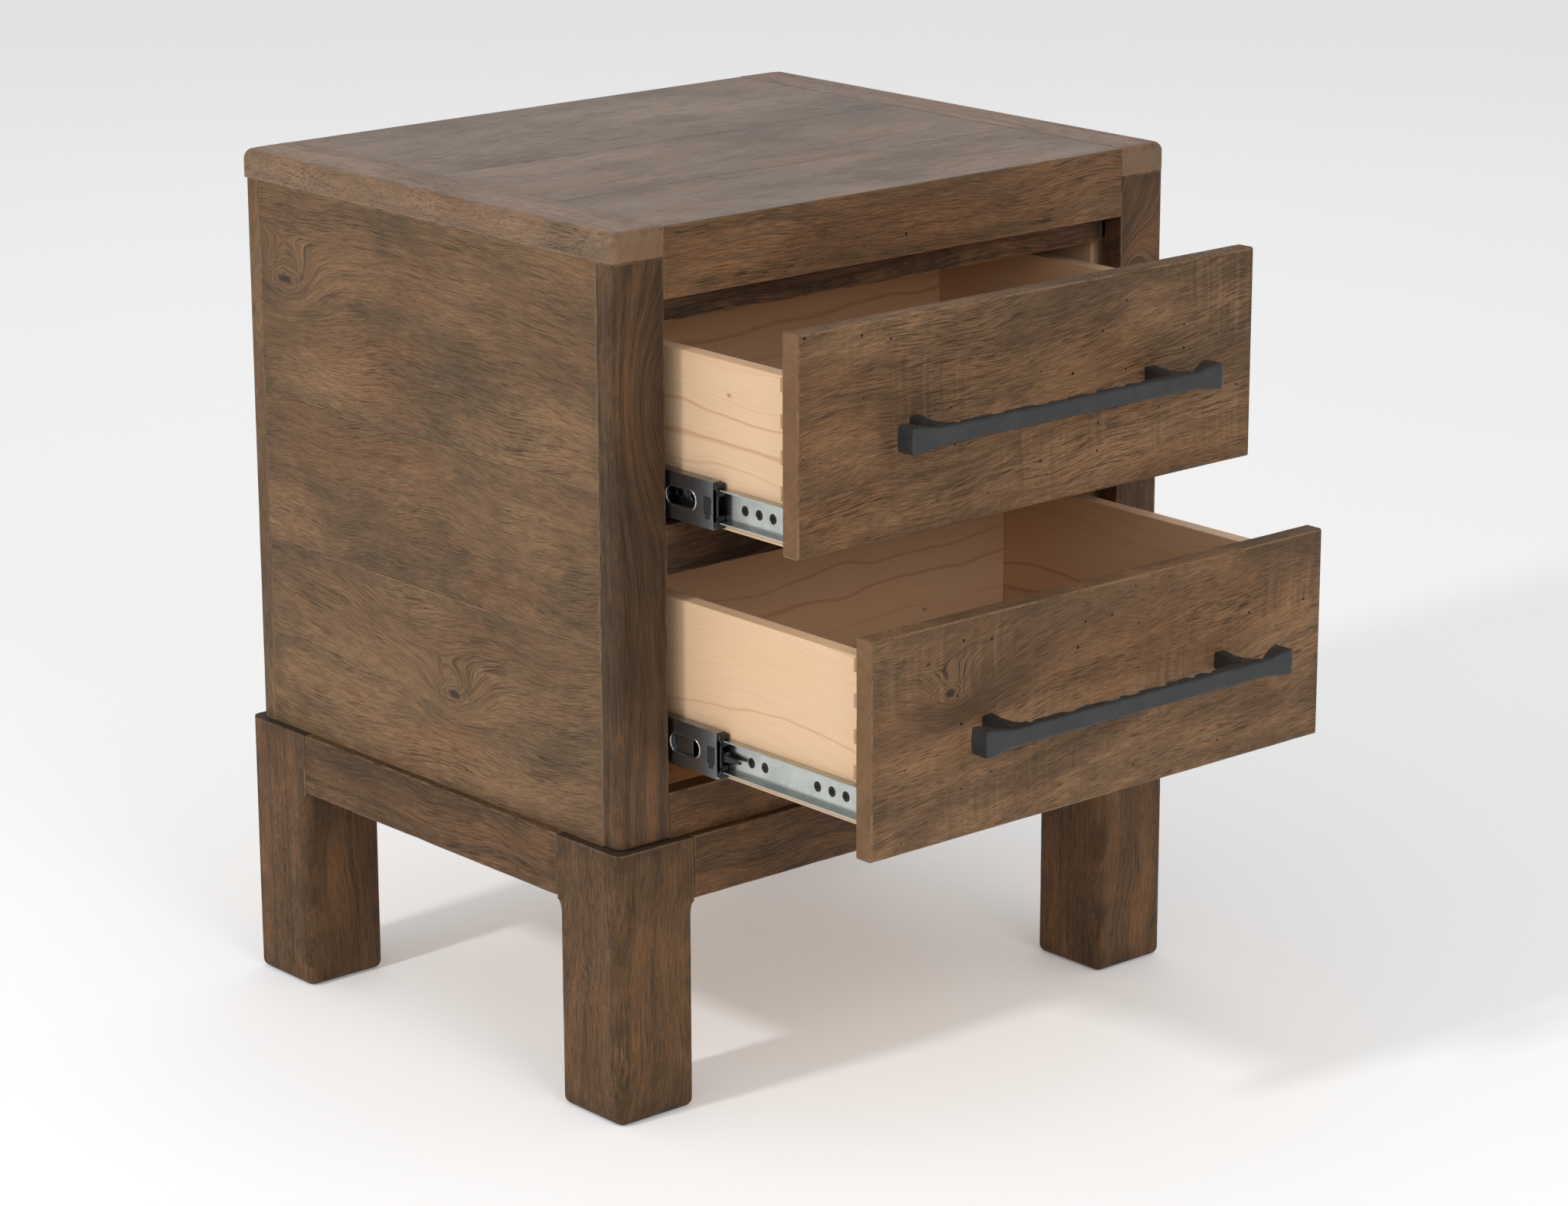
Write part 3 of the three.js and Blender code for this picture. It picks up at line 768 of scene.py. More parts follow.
@dataclass(frozen=True)
class Board:
    """How a piece of timber is cut and glued up.

    Seams are shares of its width. Knots are kept by the number of the glued board that they lie in,
    and each is (along, across, radius) from that board's middle, in metres.
    """

    grain: Axis
    face: Axis
    seams: tuple[float, ...] = ()
    knots: dict[int, tuple[float, float, float]] = field(default_factory=dict)
    ease: float = 0.7 * MM
    step: float = 13 * MM
    wave: float = 0.16 * MM
    nick: float = 0.9 * MM
    rounded: tuple[Rounding, ...] = ()

    @property
    def across(self) -> Axis:
        """The axis across the board's width."""
        return Axis(3 - self.grain.value - self.face.value)


class Timber:
    """Works a frame node over into eased, slightly wavy boards that know their own grain."""

    VECTORS = ("board", "board_half", "board_knot", "board_heart", "board_seed")
    HEART_NEAR, HEART_FAR = (-0.14, 0.02, 0.02), (0.14, 0.07, 0.09)
    NICKED = 4 * MM
    WAVE_SCALE, NICK_SCALE, NICK_LEVEL = 16, 55, 0.25

    def __init__(self, shop: Workshop, seed: int) -> None:
        """Keeps the workshop and the first board's random seed."""
        self.shop = shop
        self.random = np.random.default_rng(seed)
        self.vertices: list[np.ndarray] = []
        self.faces: list[list[int]] = []
        self.facts: dict[str, list[np.ndarray]] = {name: [] for name in self.VECTORS}

    def piece(self, node: str, board: Board, finish: Finish, wood: WeatheredWood | ClearPine | None = None,
              shape: bmesh.types.BMesh | None = None) -> None:
        """Makes the piece that stands for a node.

        Args:
            node: The frame's node.
            board: How its timber is cut.
            finish: Its slot.
            wood: Its finish, where that isn't the slot's own.
            shape: Its shape, where that isn't the node's own.
        """
        whole = shape or self.shop.shape_of(node)
        for number, part in enumerate(self.glued_boards(whole, board)):
            self.add(part, board, number)
            part.free()
        whole.free()
        name = f"{node}_board"
        material = self.shop.palette.of(wood or FINISHES[finish])
        self.shop.mount(name, self.mesh(name), material, self.shop.body_of[node], finish, node)

    def glued_boards(self, whole: bmesh.types.BMesh, board: Board) -> list[bmesh.types.BMesh]:
        """The node's shape, cut where its boards are glued."""
        axis = board.across.value
        if not board.seams:
            return [whole.copy()]
        low = min(v.co[axis] for v in whole.verts)
        high = max(v.co[axis] for v in whole.verts)
        cuts = [low, *[low + (high - low) * share for share in board.seams], high]
        normal = [0.0, 0.0, 0.0]
        normal[axis] = 1.0
        parts = []
        for start, end in zip(cuts, cuts[1:]):
            part = whole.copy()
            for place, inner in ((start, True), (end, False)):
                if low < place < high:
                    at = [0.0, 0.0, 0.0]
                    at[axis] = place
                    bmesh.ops.bisect_plane(part, geom=[*part.verts, *part.edges, *part.faces],
                                           plane_co=at, plane_no=normal, clear_inner=inner,
                                           clear_outer=not inner)
                    bmesh.ops.holes_fill(part, edges=part.edges, sides=0)
            bmesh.ops.recalc_face_normals(part, faces=part.faces)
            parts.append(part)
        return parts

    def add(self, shape: bmesh.types.BMesh, board: Board, number: int) -> None:
        """Eases, divides and wears one board, and keeps its mesh and its grain.

        Args:
            shape: The board's shape, which is changed.
            board: How its timber is cut.
            number: Its place among the glued boards.
        """
        corner = np.array([v.co for v in shape.verts])
        low, high = corner.min(0), corner.max(0)
        order = [board.grain.value, board.across.value, board.face.value]
        for rounding in board.rounded:
            rounding.apply(shape)
        ease_edges(shape, board.ease)
        for axis in range(3):
            self.divide(shape, axis, low[axis], high[axis], board.step)
        offset = Vector(self.random.uniform(-40, 40, 3))
        for vertex in list(shape.verts):
            gaps = sorted(min(at - start, end - at) for at, start, end in zip(vertex.co, low, high))
            edge = max(0.0, 1.0 - gaps[1] / self.NICKED)
            wave = noise.noise(vertex.co * self.WAVE_SCALE + offset) * board.wave
            bite = noise.noise(vertex.co * self.NICK_SCALE + offset) - self.NICK_LEVEL
            vertex.co -= vertex.normal * (abs(wave) + max(0.0, bite) * edge * board.nick)
        start = sum(len(v) for v in self.vertices)
        shape.verts.index_update()
        place = np.array([v.co for v in shape.verts])
        self.vertices.append(place)
        self.faces.extend([start + v.index for v in f.verts] for f in shape.faces)
        local = (place - (low + high) / 2)[:, order]
        heart = self.random.uniform(self.HEART_NEAR, self.HEART_FAR) * self.random.choice((-1, 1), 3)
        facts = {
            "board": local,
            "board_half": ((high - low) / 2)[order],
            "board_knot": board.knots.get(number, (0.0, 0.0, 0.0)),
            "board_heart": heart,
            "board_seed": self.random.uniform(1, 30, 3),
        }
        for name, value in facts.items():
            self.facts[name].append(np.broadcast_to(np.asarray(value, float), (len(place), 3)))

    @staticmethod
    def divide(shape: bmesh.types.BMesh, axis: int, low: float, high: float, step: float) -> None:
        """Cuts a shape into strips across one axis."""
        count = int((high - low) / step)
        normal = [0.0, 0.0, 0.0]
        normal[axis] = 1.0
        for k in range(1, count):
            at = [0.0, 0.0, 0.0]
            at[axis] = low + (high - low) * k / count
            bmesh.ops.bisect_plane(shape, geom=[*shape.verts, *shape.edges, *shape.faces],
                                   plane_co=at, plane_no=normal)

    def mesh(self, name: str) -> bpy.types.Mesh:
        """The kept boards as one mesh with their grain stored on it."""
        made = bpy.data.meshes.new(name)
        made.from_pydata(np.concatenate(self.vertices).tolist(), [], self.faces)
        for fact in self.VECTORS:
            layer = made.attributes.new(fact, "FLOAT_VECTOR", "POINT")
            layer.data.foreach_set("vector", np.concatenate(self.facts[fact]).astype(np.float32).ravel())
        weight_normals(made)
        return made


# ---------------------------------------------------------------------------------------------
# Geometry patterns
# ---------------------------------------------------------------------------------------------


class Pattern:
    """A Geometry Nodes tree with named inputs, which is baked into a plain mesh."""

    KINDS = {float: "NodeSocketFloat", int: "NodeSocketInt"}

    def __init__(self, name: str, inputs: dict[str, float | int], material: bpy.types.Material) -> None:
        """Opens the tree.

        Args:
            name: The tree's name.
            inputs: Each input's name and value.
            material: What its result is made of.
        """
        self.inputs = inputs
        self.material = material
        self.tree = bpy.data.node_groups.new(name, "GeometryNodeTree")
        interface = self.tree.interface
        interface.new_socket("Points", in_out="INPUT", socket_type="NodeSocketGeometry")
        self.sockets = {
            label: interface.new_socket(label, in_out="INPUT", socket_type=self.KINDS[type(value)])
            for label, value in inputs.items()
        }
        interface.new_socket("Geometry", in_out="OUTPUT", socket_type="NodeSocketGeometry")
        self.make = Recipe(self.tree)
        self.entry = self.make.node("NodeGroupInput")

    def input(self, label: str) -> Term:
        """One of the tree's inputs."""
        return Term(self.make, self.entry.outputs[label])

    def on_points(self, shape: Term, turn: tuple[float, float, float] = (0.0, 0.0, 0.0)) -> Pattern:
        """Puts a shape on every point, and ends the tree with real geometry in its material.

        Args:
            shape: What is repeated.
            turn: How it is turned, in radians.

        Returns:
            The pattern itself.
        """
        placed = self.make.term("GeometryNodeInstanceOnPoints", None,
                                {"Points": self.input("Points"), "Instance": shape, "Rotation": turn})
        real = self.make.term("GeometryNodeRealizeInstances", None, {0: placed})
        dressed = self.make.term("GeometryNodeSetMaterial", None,
                                 {"Geometry": real, "Material": self.material})
        self.make.node("NodeGroupOutput", None, {"Geometry": dressed})
        return self

    def bake(self, name: str, points: list[Vector]) -> bpy.types.Mesh:
        """Runs the tree on some points and returns its result as a mesh.

        Args:
            name: The mesh's name.
            points: The points that it starts from.

        Returns:
            A plain mesh with no modifier behind it.
        """
        seed = bpy.data.meshes.new(f"{name}_points")
        seed.from_pydata([tuple(p) for p in points], [], [])
        holder = bpy.data.objects.new(f"{name}_points", seed)
        bpy.context.scene.collection.objects.link(holder)
        modifier = holder.modifiers.new(self.tree.name, "NODES")
        modifier.node_group = self.tree
        for label, value in self.inputs.items():
            modifier[self.sockets[label].identifier] = value
        holder.update_tag()
        made = evaluated(holder, name)
        bpy.data.objects.remove(holder)
        bpy.data.meshes.remove(seed)
        made.materials.clear()
        made.materials.append(self.material)
        made.polygons.foreach_set("material_index", np.zeros(len(made.polygons), int))
        return made


def evaluated(holder: bpy.types.Object, name: str) -> bpy.types.Mesh:
    """An object's mesh with all its modifiers applied."""
    bpy.context.view_layer.update()
    graph = bpy.context.evaluated_depsgraph_get()
    made = bpy.data.meshes.new_from_object(holder.evaluated_get(graph), preserve_all_data_layers=True,
                                           depsgraph=graph)
    made.name = name
    return made


@dataclass(frozen=True)
class ScrewHeads:
    """Pan-head screws with a cross recess, one at each point, turned to face along X or Y."""

    radius: float = 2.7 * MM
    height: float = 1.6 * MM
    facing: Axis = Axis.X
    sign: float = 1.0

    def pattern(self, material: bpy.types.Material) -> Pattern:
        """The tree that makes one head and puts it on every point."""
        tree = Pattern("screw_heads", {"Radius": self.radius, "Height": self.height}, material)
        make = tree.make
        radius, height = tree.input("Radius"), tree.input("Height")
        disc = make.term("GeometryNodeMeshCylinder", None,
                         {"Vertices": 20, "Side Segments": 1, "Radius": radius, "Depth": height})
        dome = make.term("GeometryNodeMeshUVSphere", None, {"Segments": 20, "Rings": 10, "Radius": radius})
        low = make.term("GeometryNodeTransform", None,
                        {"Geometry": dome, "Scale": (1.0, 1.0, 0.62),
                         "Translation": make.vector(0.0, 0.0, height * -0.30)})
        head = make.term("GeometryNodeMeshBoolean", {"operation": "INTERSECT"}, {1: low})
        self.also(make, head, disc)
        slots = []
        for sizes in ((1.25, 0.30), (0.30, 1.25)):
            size = make.vector(radius * sizes[0], radius * sizes[1], height * 1.2)
            bar = make.term("GeometryNodeMeshCube", None, {"Size": size})
            slots.append(make.term("GeometryNodeTransform", None,
                                   {"Geometry": bar, "Translation": make.vector(0.0, 0.0, height * 0.75)}))
        cut = make.term("GeometryNodeMeshBoolean", {"operation": "DIFFERENCE"}, {0: head, 1: slots[0]})
        self.also(make, cut, slots[1])
        quarter = math.pi / 2 * self.sign
        return tree.on_points(cut, (0.0, quarter, 0.0) if self.facing is Axis.X else (-quarter, 0.0, 0.0))

    @staticmethod
    def also(make: Recipe, operation: Term, shape: Term) -> None:
        """Adds one more shape to a boolean's second input."""
        make.tree.links.new(shape.socket, operation.socket.node.inputs[1])


@dataclass(frozen=True)
class WindowRims:
    """Raised rims round the long windows of a slide member, one at each point, lying across X."""

    length: float = 34 * MM
    height: float = 15 * MM
    corner: float = 7.4 * MM
    bead: float = 0.6 * MM

    def pattern(self, material: bpy.types.Material) -> Pattern:
        """The tree that sweeps a bead round one window and puts it on every point."""
        inputs = {"Length": self.length, "Height": self.height, "Corner": self.corner, "Bead": self.bead}
        tree = Pattern("window_rims", inputs, material)
        make = tree.make
        outline = make.term("GeometryNodeCurvePrimitiveQuadrilateral", {"mode": "RECTANGLE"},
                            {"Width": tree.input("Height"), "Height": tree.input("Length")})
        round_ends = make.term("GeometryNodeFilletCurve", {"mode": "POLY"},
                               {"Curve": outline, "Radius": tree.input("Corner"), "Count": 10})
        section = make.term("GeometryNodeCurvePrimitiveCircle", None,
                            {"Resolution": 10, "Radius": tree.input("Bead")})
        swept = make.term("GeometryNodeCurveToMesh", None, {"Curve": round_ends, "Profile Curve": section})
        smooth = make.term("GeometryNodeSetShadeSmooth", None, {0: swept})
        stood = make.term("GeometryNodeTransform", None,
                          {"Geometry": smooth, "Rotation": (0.0, math.pi / 2, 0.0)})
        return tree.on_points(stood)


@dataclass(frozen=True)
class BallRow:
    """A row of steel balls at each point, along Y."""

    count: int = 8
    pitch: float = 12 * MM
    radius: float = 1.55 * MM

    def pattern(self, material: bpy.types.Material) -> Pattern:
        """The tree that lays out the row."""
        inputs = {"Count": self.count, "Pitch": self.pitch, "Radius": self.radius}
        tree = Pattern("ball_row", inputs, material)
        make = tree.make
        first = (tree.input("Count") - 1.0) * tree.input("Pitch") * -0.5
        line = make.term("GeometryNodeMeshLine", None,
                         {"Count": tree.input("Count"), "Start Location": make.vector(0.0, first, 0.0),
                          "Offset": make.vector(0.0, tree.input("Pitch"), 0.0)})
        ball = make.term("GeometryNodeMeshIcoSphere", None,
                         {"Radius": tree.input("Radius"), "Subdivisions": 3})
        smooth = make.term("GeometryNodeSetShadeSmooth", None, {0: ball})
        row = make.term("GeometryNodeInstanceOnPoints", None, {"Points": line, "Instance": smooth})
        return tree.on_points(row)


@dataclass(frozen=True)
class DovetailRow:
    """The end grain of a box front's tails, showing in the side: a column of wedges up Z."""

    count: int = 5
    first: float = 12.6 * MM
    pitch: float = 26.4 * MM
    length: float = 13.6 * MM
    broad: float = 13.0 * MM
    narrow: float = 10.5 * MM
    proud: float = 0.15 * MM

    def pattern(self, material: bpy.types.Material) -> Pattern:
        """The tree that cuts one wedge and stacks it."""
        inputs = {"Count": self.count, "Pitch": self.pitch, "Length": self.length,
                  "Broad": self.broad, "Narrow": self.narrow, "Proud": self.proud}
        tree = Pattern("dovetail_row", inputs, material)
        make = tree.make
        step = make.vector(0.0, 0.0, tree.input("Pitch"))
        line = make.term("GeometryNodeMeshLine", None, {"Count": tree.input("Count"), "Offset": step})
        size = make.vector(tree.input("Proud") * 2.0, tree.input("Length"), 1.0)
        block = make.term("GeometryNodeMeshCube", None, {"Size": size})
        x, y, z = make.split(make.term("GeometryNodeInputPosition"))
        along = y / tree.input("Length") + 0.5
        width = tree.input("Broad") + (tree.input("Narrow") - tree.input("Broad")) * along
        wedge = make.term("GeometryNodeSetPosition", None,
                          {"Geometry": block, "Position": make.vector(x, y, z * width)})
        column = make.term("GeometryNodeInstanceOnPoints", None, {"Points": line, "Instance": wedge})
        return tree.on_points(column)


@dataclass(frozen=True)
class ForgedPull:
    """A forged bar that swells at its ends, on two posts that spread where they meet it."""

    length: float = 312 * MM
    reach: float = 40 * MM
    thickness: float = 9 * MM
    height: float = 13 * MM
    end_thickness: float = 17 * MM
    end_height: float = 20 * MM
    flare: float = 30 * MM
    post_at: float = 119 * MM
    post_width: float = 8.5 * MM
    post_spread: float = 5.5 * MM
    hammered: float = 1.3 * MM
    grid: float = 0.8 * MM

    def pattern(self, material: bpy.types.Material) -> Pattern:
        """The tree that shapes the bar and its posts from plain blocks."""
        inputs = {"Length": self.length, "Reach": self.reach, "Thickness": self.thickness,
                  "Height": self.height, "End Thickness": self.end_thickness, "End Height": self.end_height,
                  "Flare": self.flare, "Post At": self.post_at, "Post Width": self.post_width,
                  "Post Spread": self.post_spread, "Hammered": self.hammered}
        tree = Pattern("forged_pull", inputs, material)
        bar = self.bar(tree)
        posts = [self.post(tree, side) for side in (-1.0, 1.0)]
        joined = tree.make.node("GeometryNodeJoinGeometry")
        for part in (bar, *posts):
            tree.make.tree.links.new(part.socket, joined.inputs[0])
        return tree.on_points(Term(tree.make, joined.outputs[0]))

    def bar(self, tree: Pattern) -> Term:
        """The bar: a block whose sections grow towards its ends, with a hammered top and bottom."""
        make = tree.make
        size = make.vector(tree.input("Length"), 1.0, 1.0)
        block = make.term("GeometryNodeMeshCube", None,
                          {"Size": size, "Vertices X": 157, "Vertices Y": 9, "Vertices Z": 9})
        x, v, w = make.split(make.term("GeometryNodeInputPosition"))
        end = tree.input("Length") * 0.5
        swell = make.smooth(abs(x), end - tree.input("Flare"), end)
        tall = tree.input("Height") + (tree.input("End Height") - tree.input("Height")) * swell
        thick = tree.input("Thickness") + (tree.input("End Thickness") - tree.input("Thickness")) * swell
        dents = make.grain(make.vector(x * 95.0, v * 1.7, w * 2.0), 1.0) - 0.5
        broad = make.grain(make.vector(x * 36.0, v * 0.9, w * 1.4), 1.0) - 0.5
        beaten = (dents * 0.9 + broad * 1.0) * tree.input("Hammered")
        bites = make.smooth(make.grain(make.vector(x * 62.0, 3.7, 0.0), 1.0), 0.50, 0.60)
        bites = bites * make.smooth(v, 0.05, 0.45) * make.smooth(w, 0.05, 0.45) * (1.0 - swell)
        z = w * tall + w * 2.0 * beaten * 0.7 - bites * tree.input("Hammered") * 1.3
        y = (v + 0.5) * thick - tree.input("Reach") + (v + 0.5) * beaten - bites * tree.input("Hammered")
        crown = make.smooth(abs(x), end - 3 * MM, end) * (1.0 - (w * 2.0) ** 2.0) * (0.9 * MM)
        outward = x + make.math("SIGN", x) * crown
        return make.term("GeometryNodeSetPosition", None,
                         {"Geometry": block, "Position": make.vector(outward, y, z)})

    def post(self, tree: Pattern, side: float) -> Term:
        """One post: a block that is waisted between the drawer and the bar."""
        make = tree.make
        block = make.term("GeometryNodeMeshCube", None,
                          {"Size": (1.0, 1.0, 1.0), "Vertices X": 9, "Vertices Y": 25, "Vertices Z": 9})
        u, v, w = make.split(make.term("GeometryNodeInputPosition"))
        deep = tree.input("Reach") - tree.input("Thickness") * 0.5
        waist = (v * 2.0) ** 2.0
        at_bar = make.smooth(v * -1.0, 0.10, 0.48)
        wide = tree.input("Post Width") + tree.input("Post Spread") * (waist * 0.35 + at_bar * 1.5)
        tall = tree.input("Height") * (0.86 + waist * 0.14)
        dents = make.grain(make.vector(u * 2.0, v * 3.4, w * 2.0), 1.0) - 0.5
        x = u * wide + tree.input("Post At") * side + u * dents * 1.2 * MM
        y = (v - 0.5) * deep
        z = w * tall + w * dents * (1.5 * MM)
        return make.term("GeometryNodeSetPosition", None,
                         {"Geometry": block, "Position": make.vector(x, y, z)})


# ---------------------------------------------------------------------------------------------
# Sub-assemblies
# ---------------------------------------------------------------------------------------------


@dataclass
class Case:
    """The plank-built case: top, stiles, side panels, rails and inner panels."""

    shop: Workshop
    top_ease: float = 1.3 * MM
    side_seams: tuple[float, float] = (0.348, 0.616)
    back_screws: tuple[float, ...] = (-0.75, -0.25, 0.25, 0.75)

    def build(self) -> None:
        """Makes every board of the case."""
        top = Board(Axis.X, Axis.Z, seams=(0.27, 0.58), ease=self.top_ease)
        Timber(self.shop, 11).piece("top_panel", top, Finish.TOP)
        rail = Board(Axis.X, Axis.Y, ease=0.9 * MM)
        Timber(self.shop, 12).piece("top_front_rail", rail, Finish.CASE, RAIL_WOOD)
        Timber(self.shop, 13).piece("bottom_rail", rail, Finish.CASE, SHADED_BASE_WOOD)
        Timber(self.shop, 14).piece("middle_rail", rail, Finish.CASE, SHADED_DIVIDER_WOOD)
        Timber(self.shop, 15).piece("stop_rail", rail, Finish.CASE, RECESS_SHADED_STOP_WOOD)
        for seed, side in enumerate(SIDES, 20):
            self.build_side(side, seed)
        self.build_panels()

    def build_side(self, side: str, seed: int) -> None:
        """Makes one side of the case.

        Args:
            side: left or right.
            seed: The first board's random seed.
        """
        outer = -1 if side == "left" else 1
        inner, under, over = (Axis.X, -outer), (Axis.Z, -1), (Axis.Z, 1)
        corners = (Rounding((Axis.Y, -1), (inner, under)), Rounding((Axis.Y, 1), (inner, under, over)))
        end = Board(Axis.Y, Axis.Z, ease=0.5 * MM, rounded=corners)
        Timber(self.shop, seed).piece(f"top_end_board_{side}", end, Finish.TOP, END_BOARD_WOOD)
        front = Board(Axis.Z, Axis.Y, knots={0: (0.111, -outer * 24 * MM, -17 * MM)}, ease=0.5 * MM,
                      rounded=(Rounding(under, (inner, (Axis.Y, 1)), 2.5 * MM, 3),))
        Timber(self.shop, seed + 10).piece(f"front_stile_{side}", front, Finish.CASE, STILE_WOOD)
        back = Rounding((Axis.Y, 1), (inner, under, over))
        rear = Board(Axis.Z, Axis.Y, ease=0.5 * MM, rounded=(back,))
        Timber(self.shop, seed + 20).piece(f"rear_stile_{side}", rear, Finish.CASE)
        knots = {0: (-0.030, 0.0, 11 * MM), 2: (0.176, 0.012, 12 * MM)}
        panel = Board(Axis.Y, Axis.X, seams=self.side_seams, knots=knots, ease=0.5 * MM)
        Timber(self.shop, seed + 30).piece(f"side_panel_{side}", panel, Finish.CASE)
        spacer = Board(Axis.Z, Axis.X, ease=0.6 * MM)
        Timber(self.shop, seed + 40).piece(f"slide_spacer_{side}", spacer, Finish.PINE)

    def build_panels(self) -> None:
        """Makes the plywood panels inside the case and the back."""
        flat = Board(Axis.X, Axis.Z, ease=0.4 * MM, step=40 * MM)
        Timber(self.shop, 71).piece("case_bottom", flat, Finish.PLY)
        Timber(self.shop, 72).piece("dust_panel", flat, Finish.PLY)
        back = Board(Axis.X, Axis.Y, ease=0.4 * MM, step=40 * MM)
        Timber(self.shop, 73).piece("back_panel", back, Finish.PLY)
        self.build_back_screws()

    def build_back_screws(self) -> None:
        """Screws the back to the rear edges of the two panels inside the case."""
        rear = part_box("back_panel")[1].y + 0.2 * MM
        points = []
        for panel in ("case_bottom", "dust_panel"):
            low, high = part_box(panel)
            height = (low.z + high.z) / 2
            points += [Vector((share * high.x, rear, height)) for share in self.back_screws]
        heads = ScrewHeads(3.0 * MM, 1.4 * MM, Axis.Y, 1.0).pattern(self.shop.palette.of(BLACKED_STEEL))
        self.shop.mount("back_panel_screws", heads.bake("back_screws", points), None,
                        self.shop.body_of["back_panel"], Finish.DARK_STEEL)


@dataclass
class Base:
    """The four legs and the rails between them."""

    shop: Workshop
    corner: float = 8 * MM
    foot: float = 6 * MM
    run_out: float = 12 * MM
    below_rail: float = 2 * MM
    tight: float = 0.8 * MM

    def build(self) -> None:
        """Makes the legs and the rails."""
        leg = Board(Axis.Z, Axis.Y, ease=0.9 * MM, step=11 * MM, nick=1.6 * MM)
        seed = 80
        for row in ROWS:
            for side in SIDES:
                name = f"leg_{row}_{side}"
                Timber(self.shop, seed).piece(name, leg, Finish.CASE, SHADED_BASE_WOOD, self.leg_shape(name))
                seed += 1
        for name in ("front", "rear", *SIDES):
            along = Axis.X if name in ROWS else Axis.Y
            rail = Board(along, Axis.Y if name in ROWS else Axis.X, ease=1.6 * MM)
            Timber(self.shop, seed).piece(f"base_rail_{name}", rail, Finish.CASE, SHADED_BASE_WOOD)
            seed += 1

    def leg_shape(self, node: str) -> bmesh.types.BMesh:
        """A leg whose inner corners run out in a curve just below the rails.

        Args:
            node: The leg's node.

        Returns:
            A new bmesh, to be freed by the caller.
        """
        low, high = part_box(node)
        middle = (low + high) / 2
        outer = (math.copysign(1, middle.x), math.copysign(1, middle.y))
        rail_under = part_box("base_rail_front")[0].z
        end = rail_under - self.below_rail
        levels = [(low.z + self.foot * (1 - math.cos(t)), self.foot * (1 - math.sin(t)), self.corner)
                  for t in np.linspace(0, math.pi / 2, 6)]
        for t in np.linspace(0, math.pi / 2, 7):
            rise = self.run_out * math.sin(t)
            radius = self.tight + (self.corner - self.tight) * math.cos(t)
            levels.append((end - self.run_out + rise, 0.0, radius))
        levels.append((high.z, 0.0, self.tight))
        shape = bmesh.new()
        rows = []
        for z, inset, radius in levels:
            outline = []
            for sx, sy in ((1, 1), (-1, 1), (-1, -1), (1, -1)):
                r = max((self.corner if (sx, sy) == outer else radius) - inset, 0.3 * MM)
                cx = middle.x + sx * ((high.x - low.x) / 2 - inset - r)
                cy = middle.y + sy * ((high.y - low.y) / 2 - inset - r)
                start = math.atan2(sy, sx) - math.pi / 4
                for t in np.linspace(0, math.pi / 2, 6):
                    corner = (cx + r * math.cos(start + t), cy + r * math.sin(start + t), z)
                    outline.append(shape.verts.new(corner))
            rows.append(outline)
        for below, above in zip(rows, rows[1:]):
            for k in range(len(below)):
                after = (k + 1) % len(below)
                shape.faces.new((below[k], below[after], above[after], above[k]))
        shape.faces.new(reversed(rows[0]))
        shape.faces.new(rows[-1])
        bmesh.ops.dissolve_limit(shape, angle_limit=math.radians(0.5), verts=shape.verts, edges=shape.edges)
        return shape


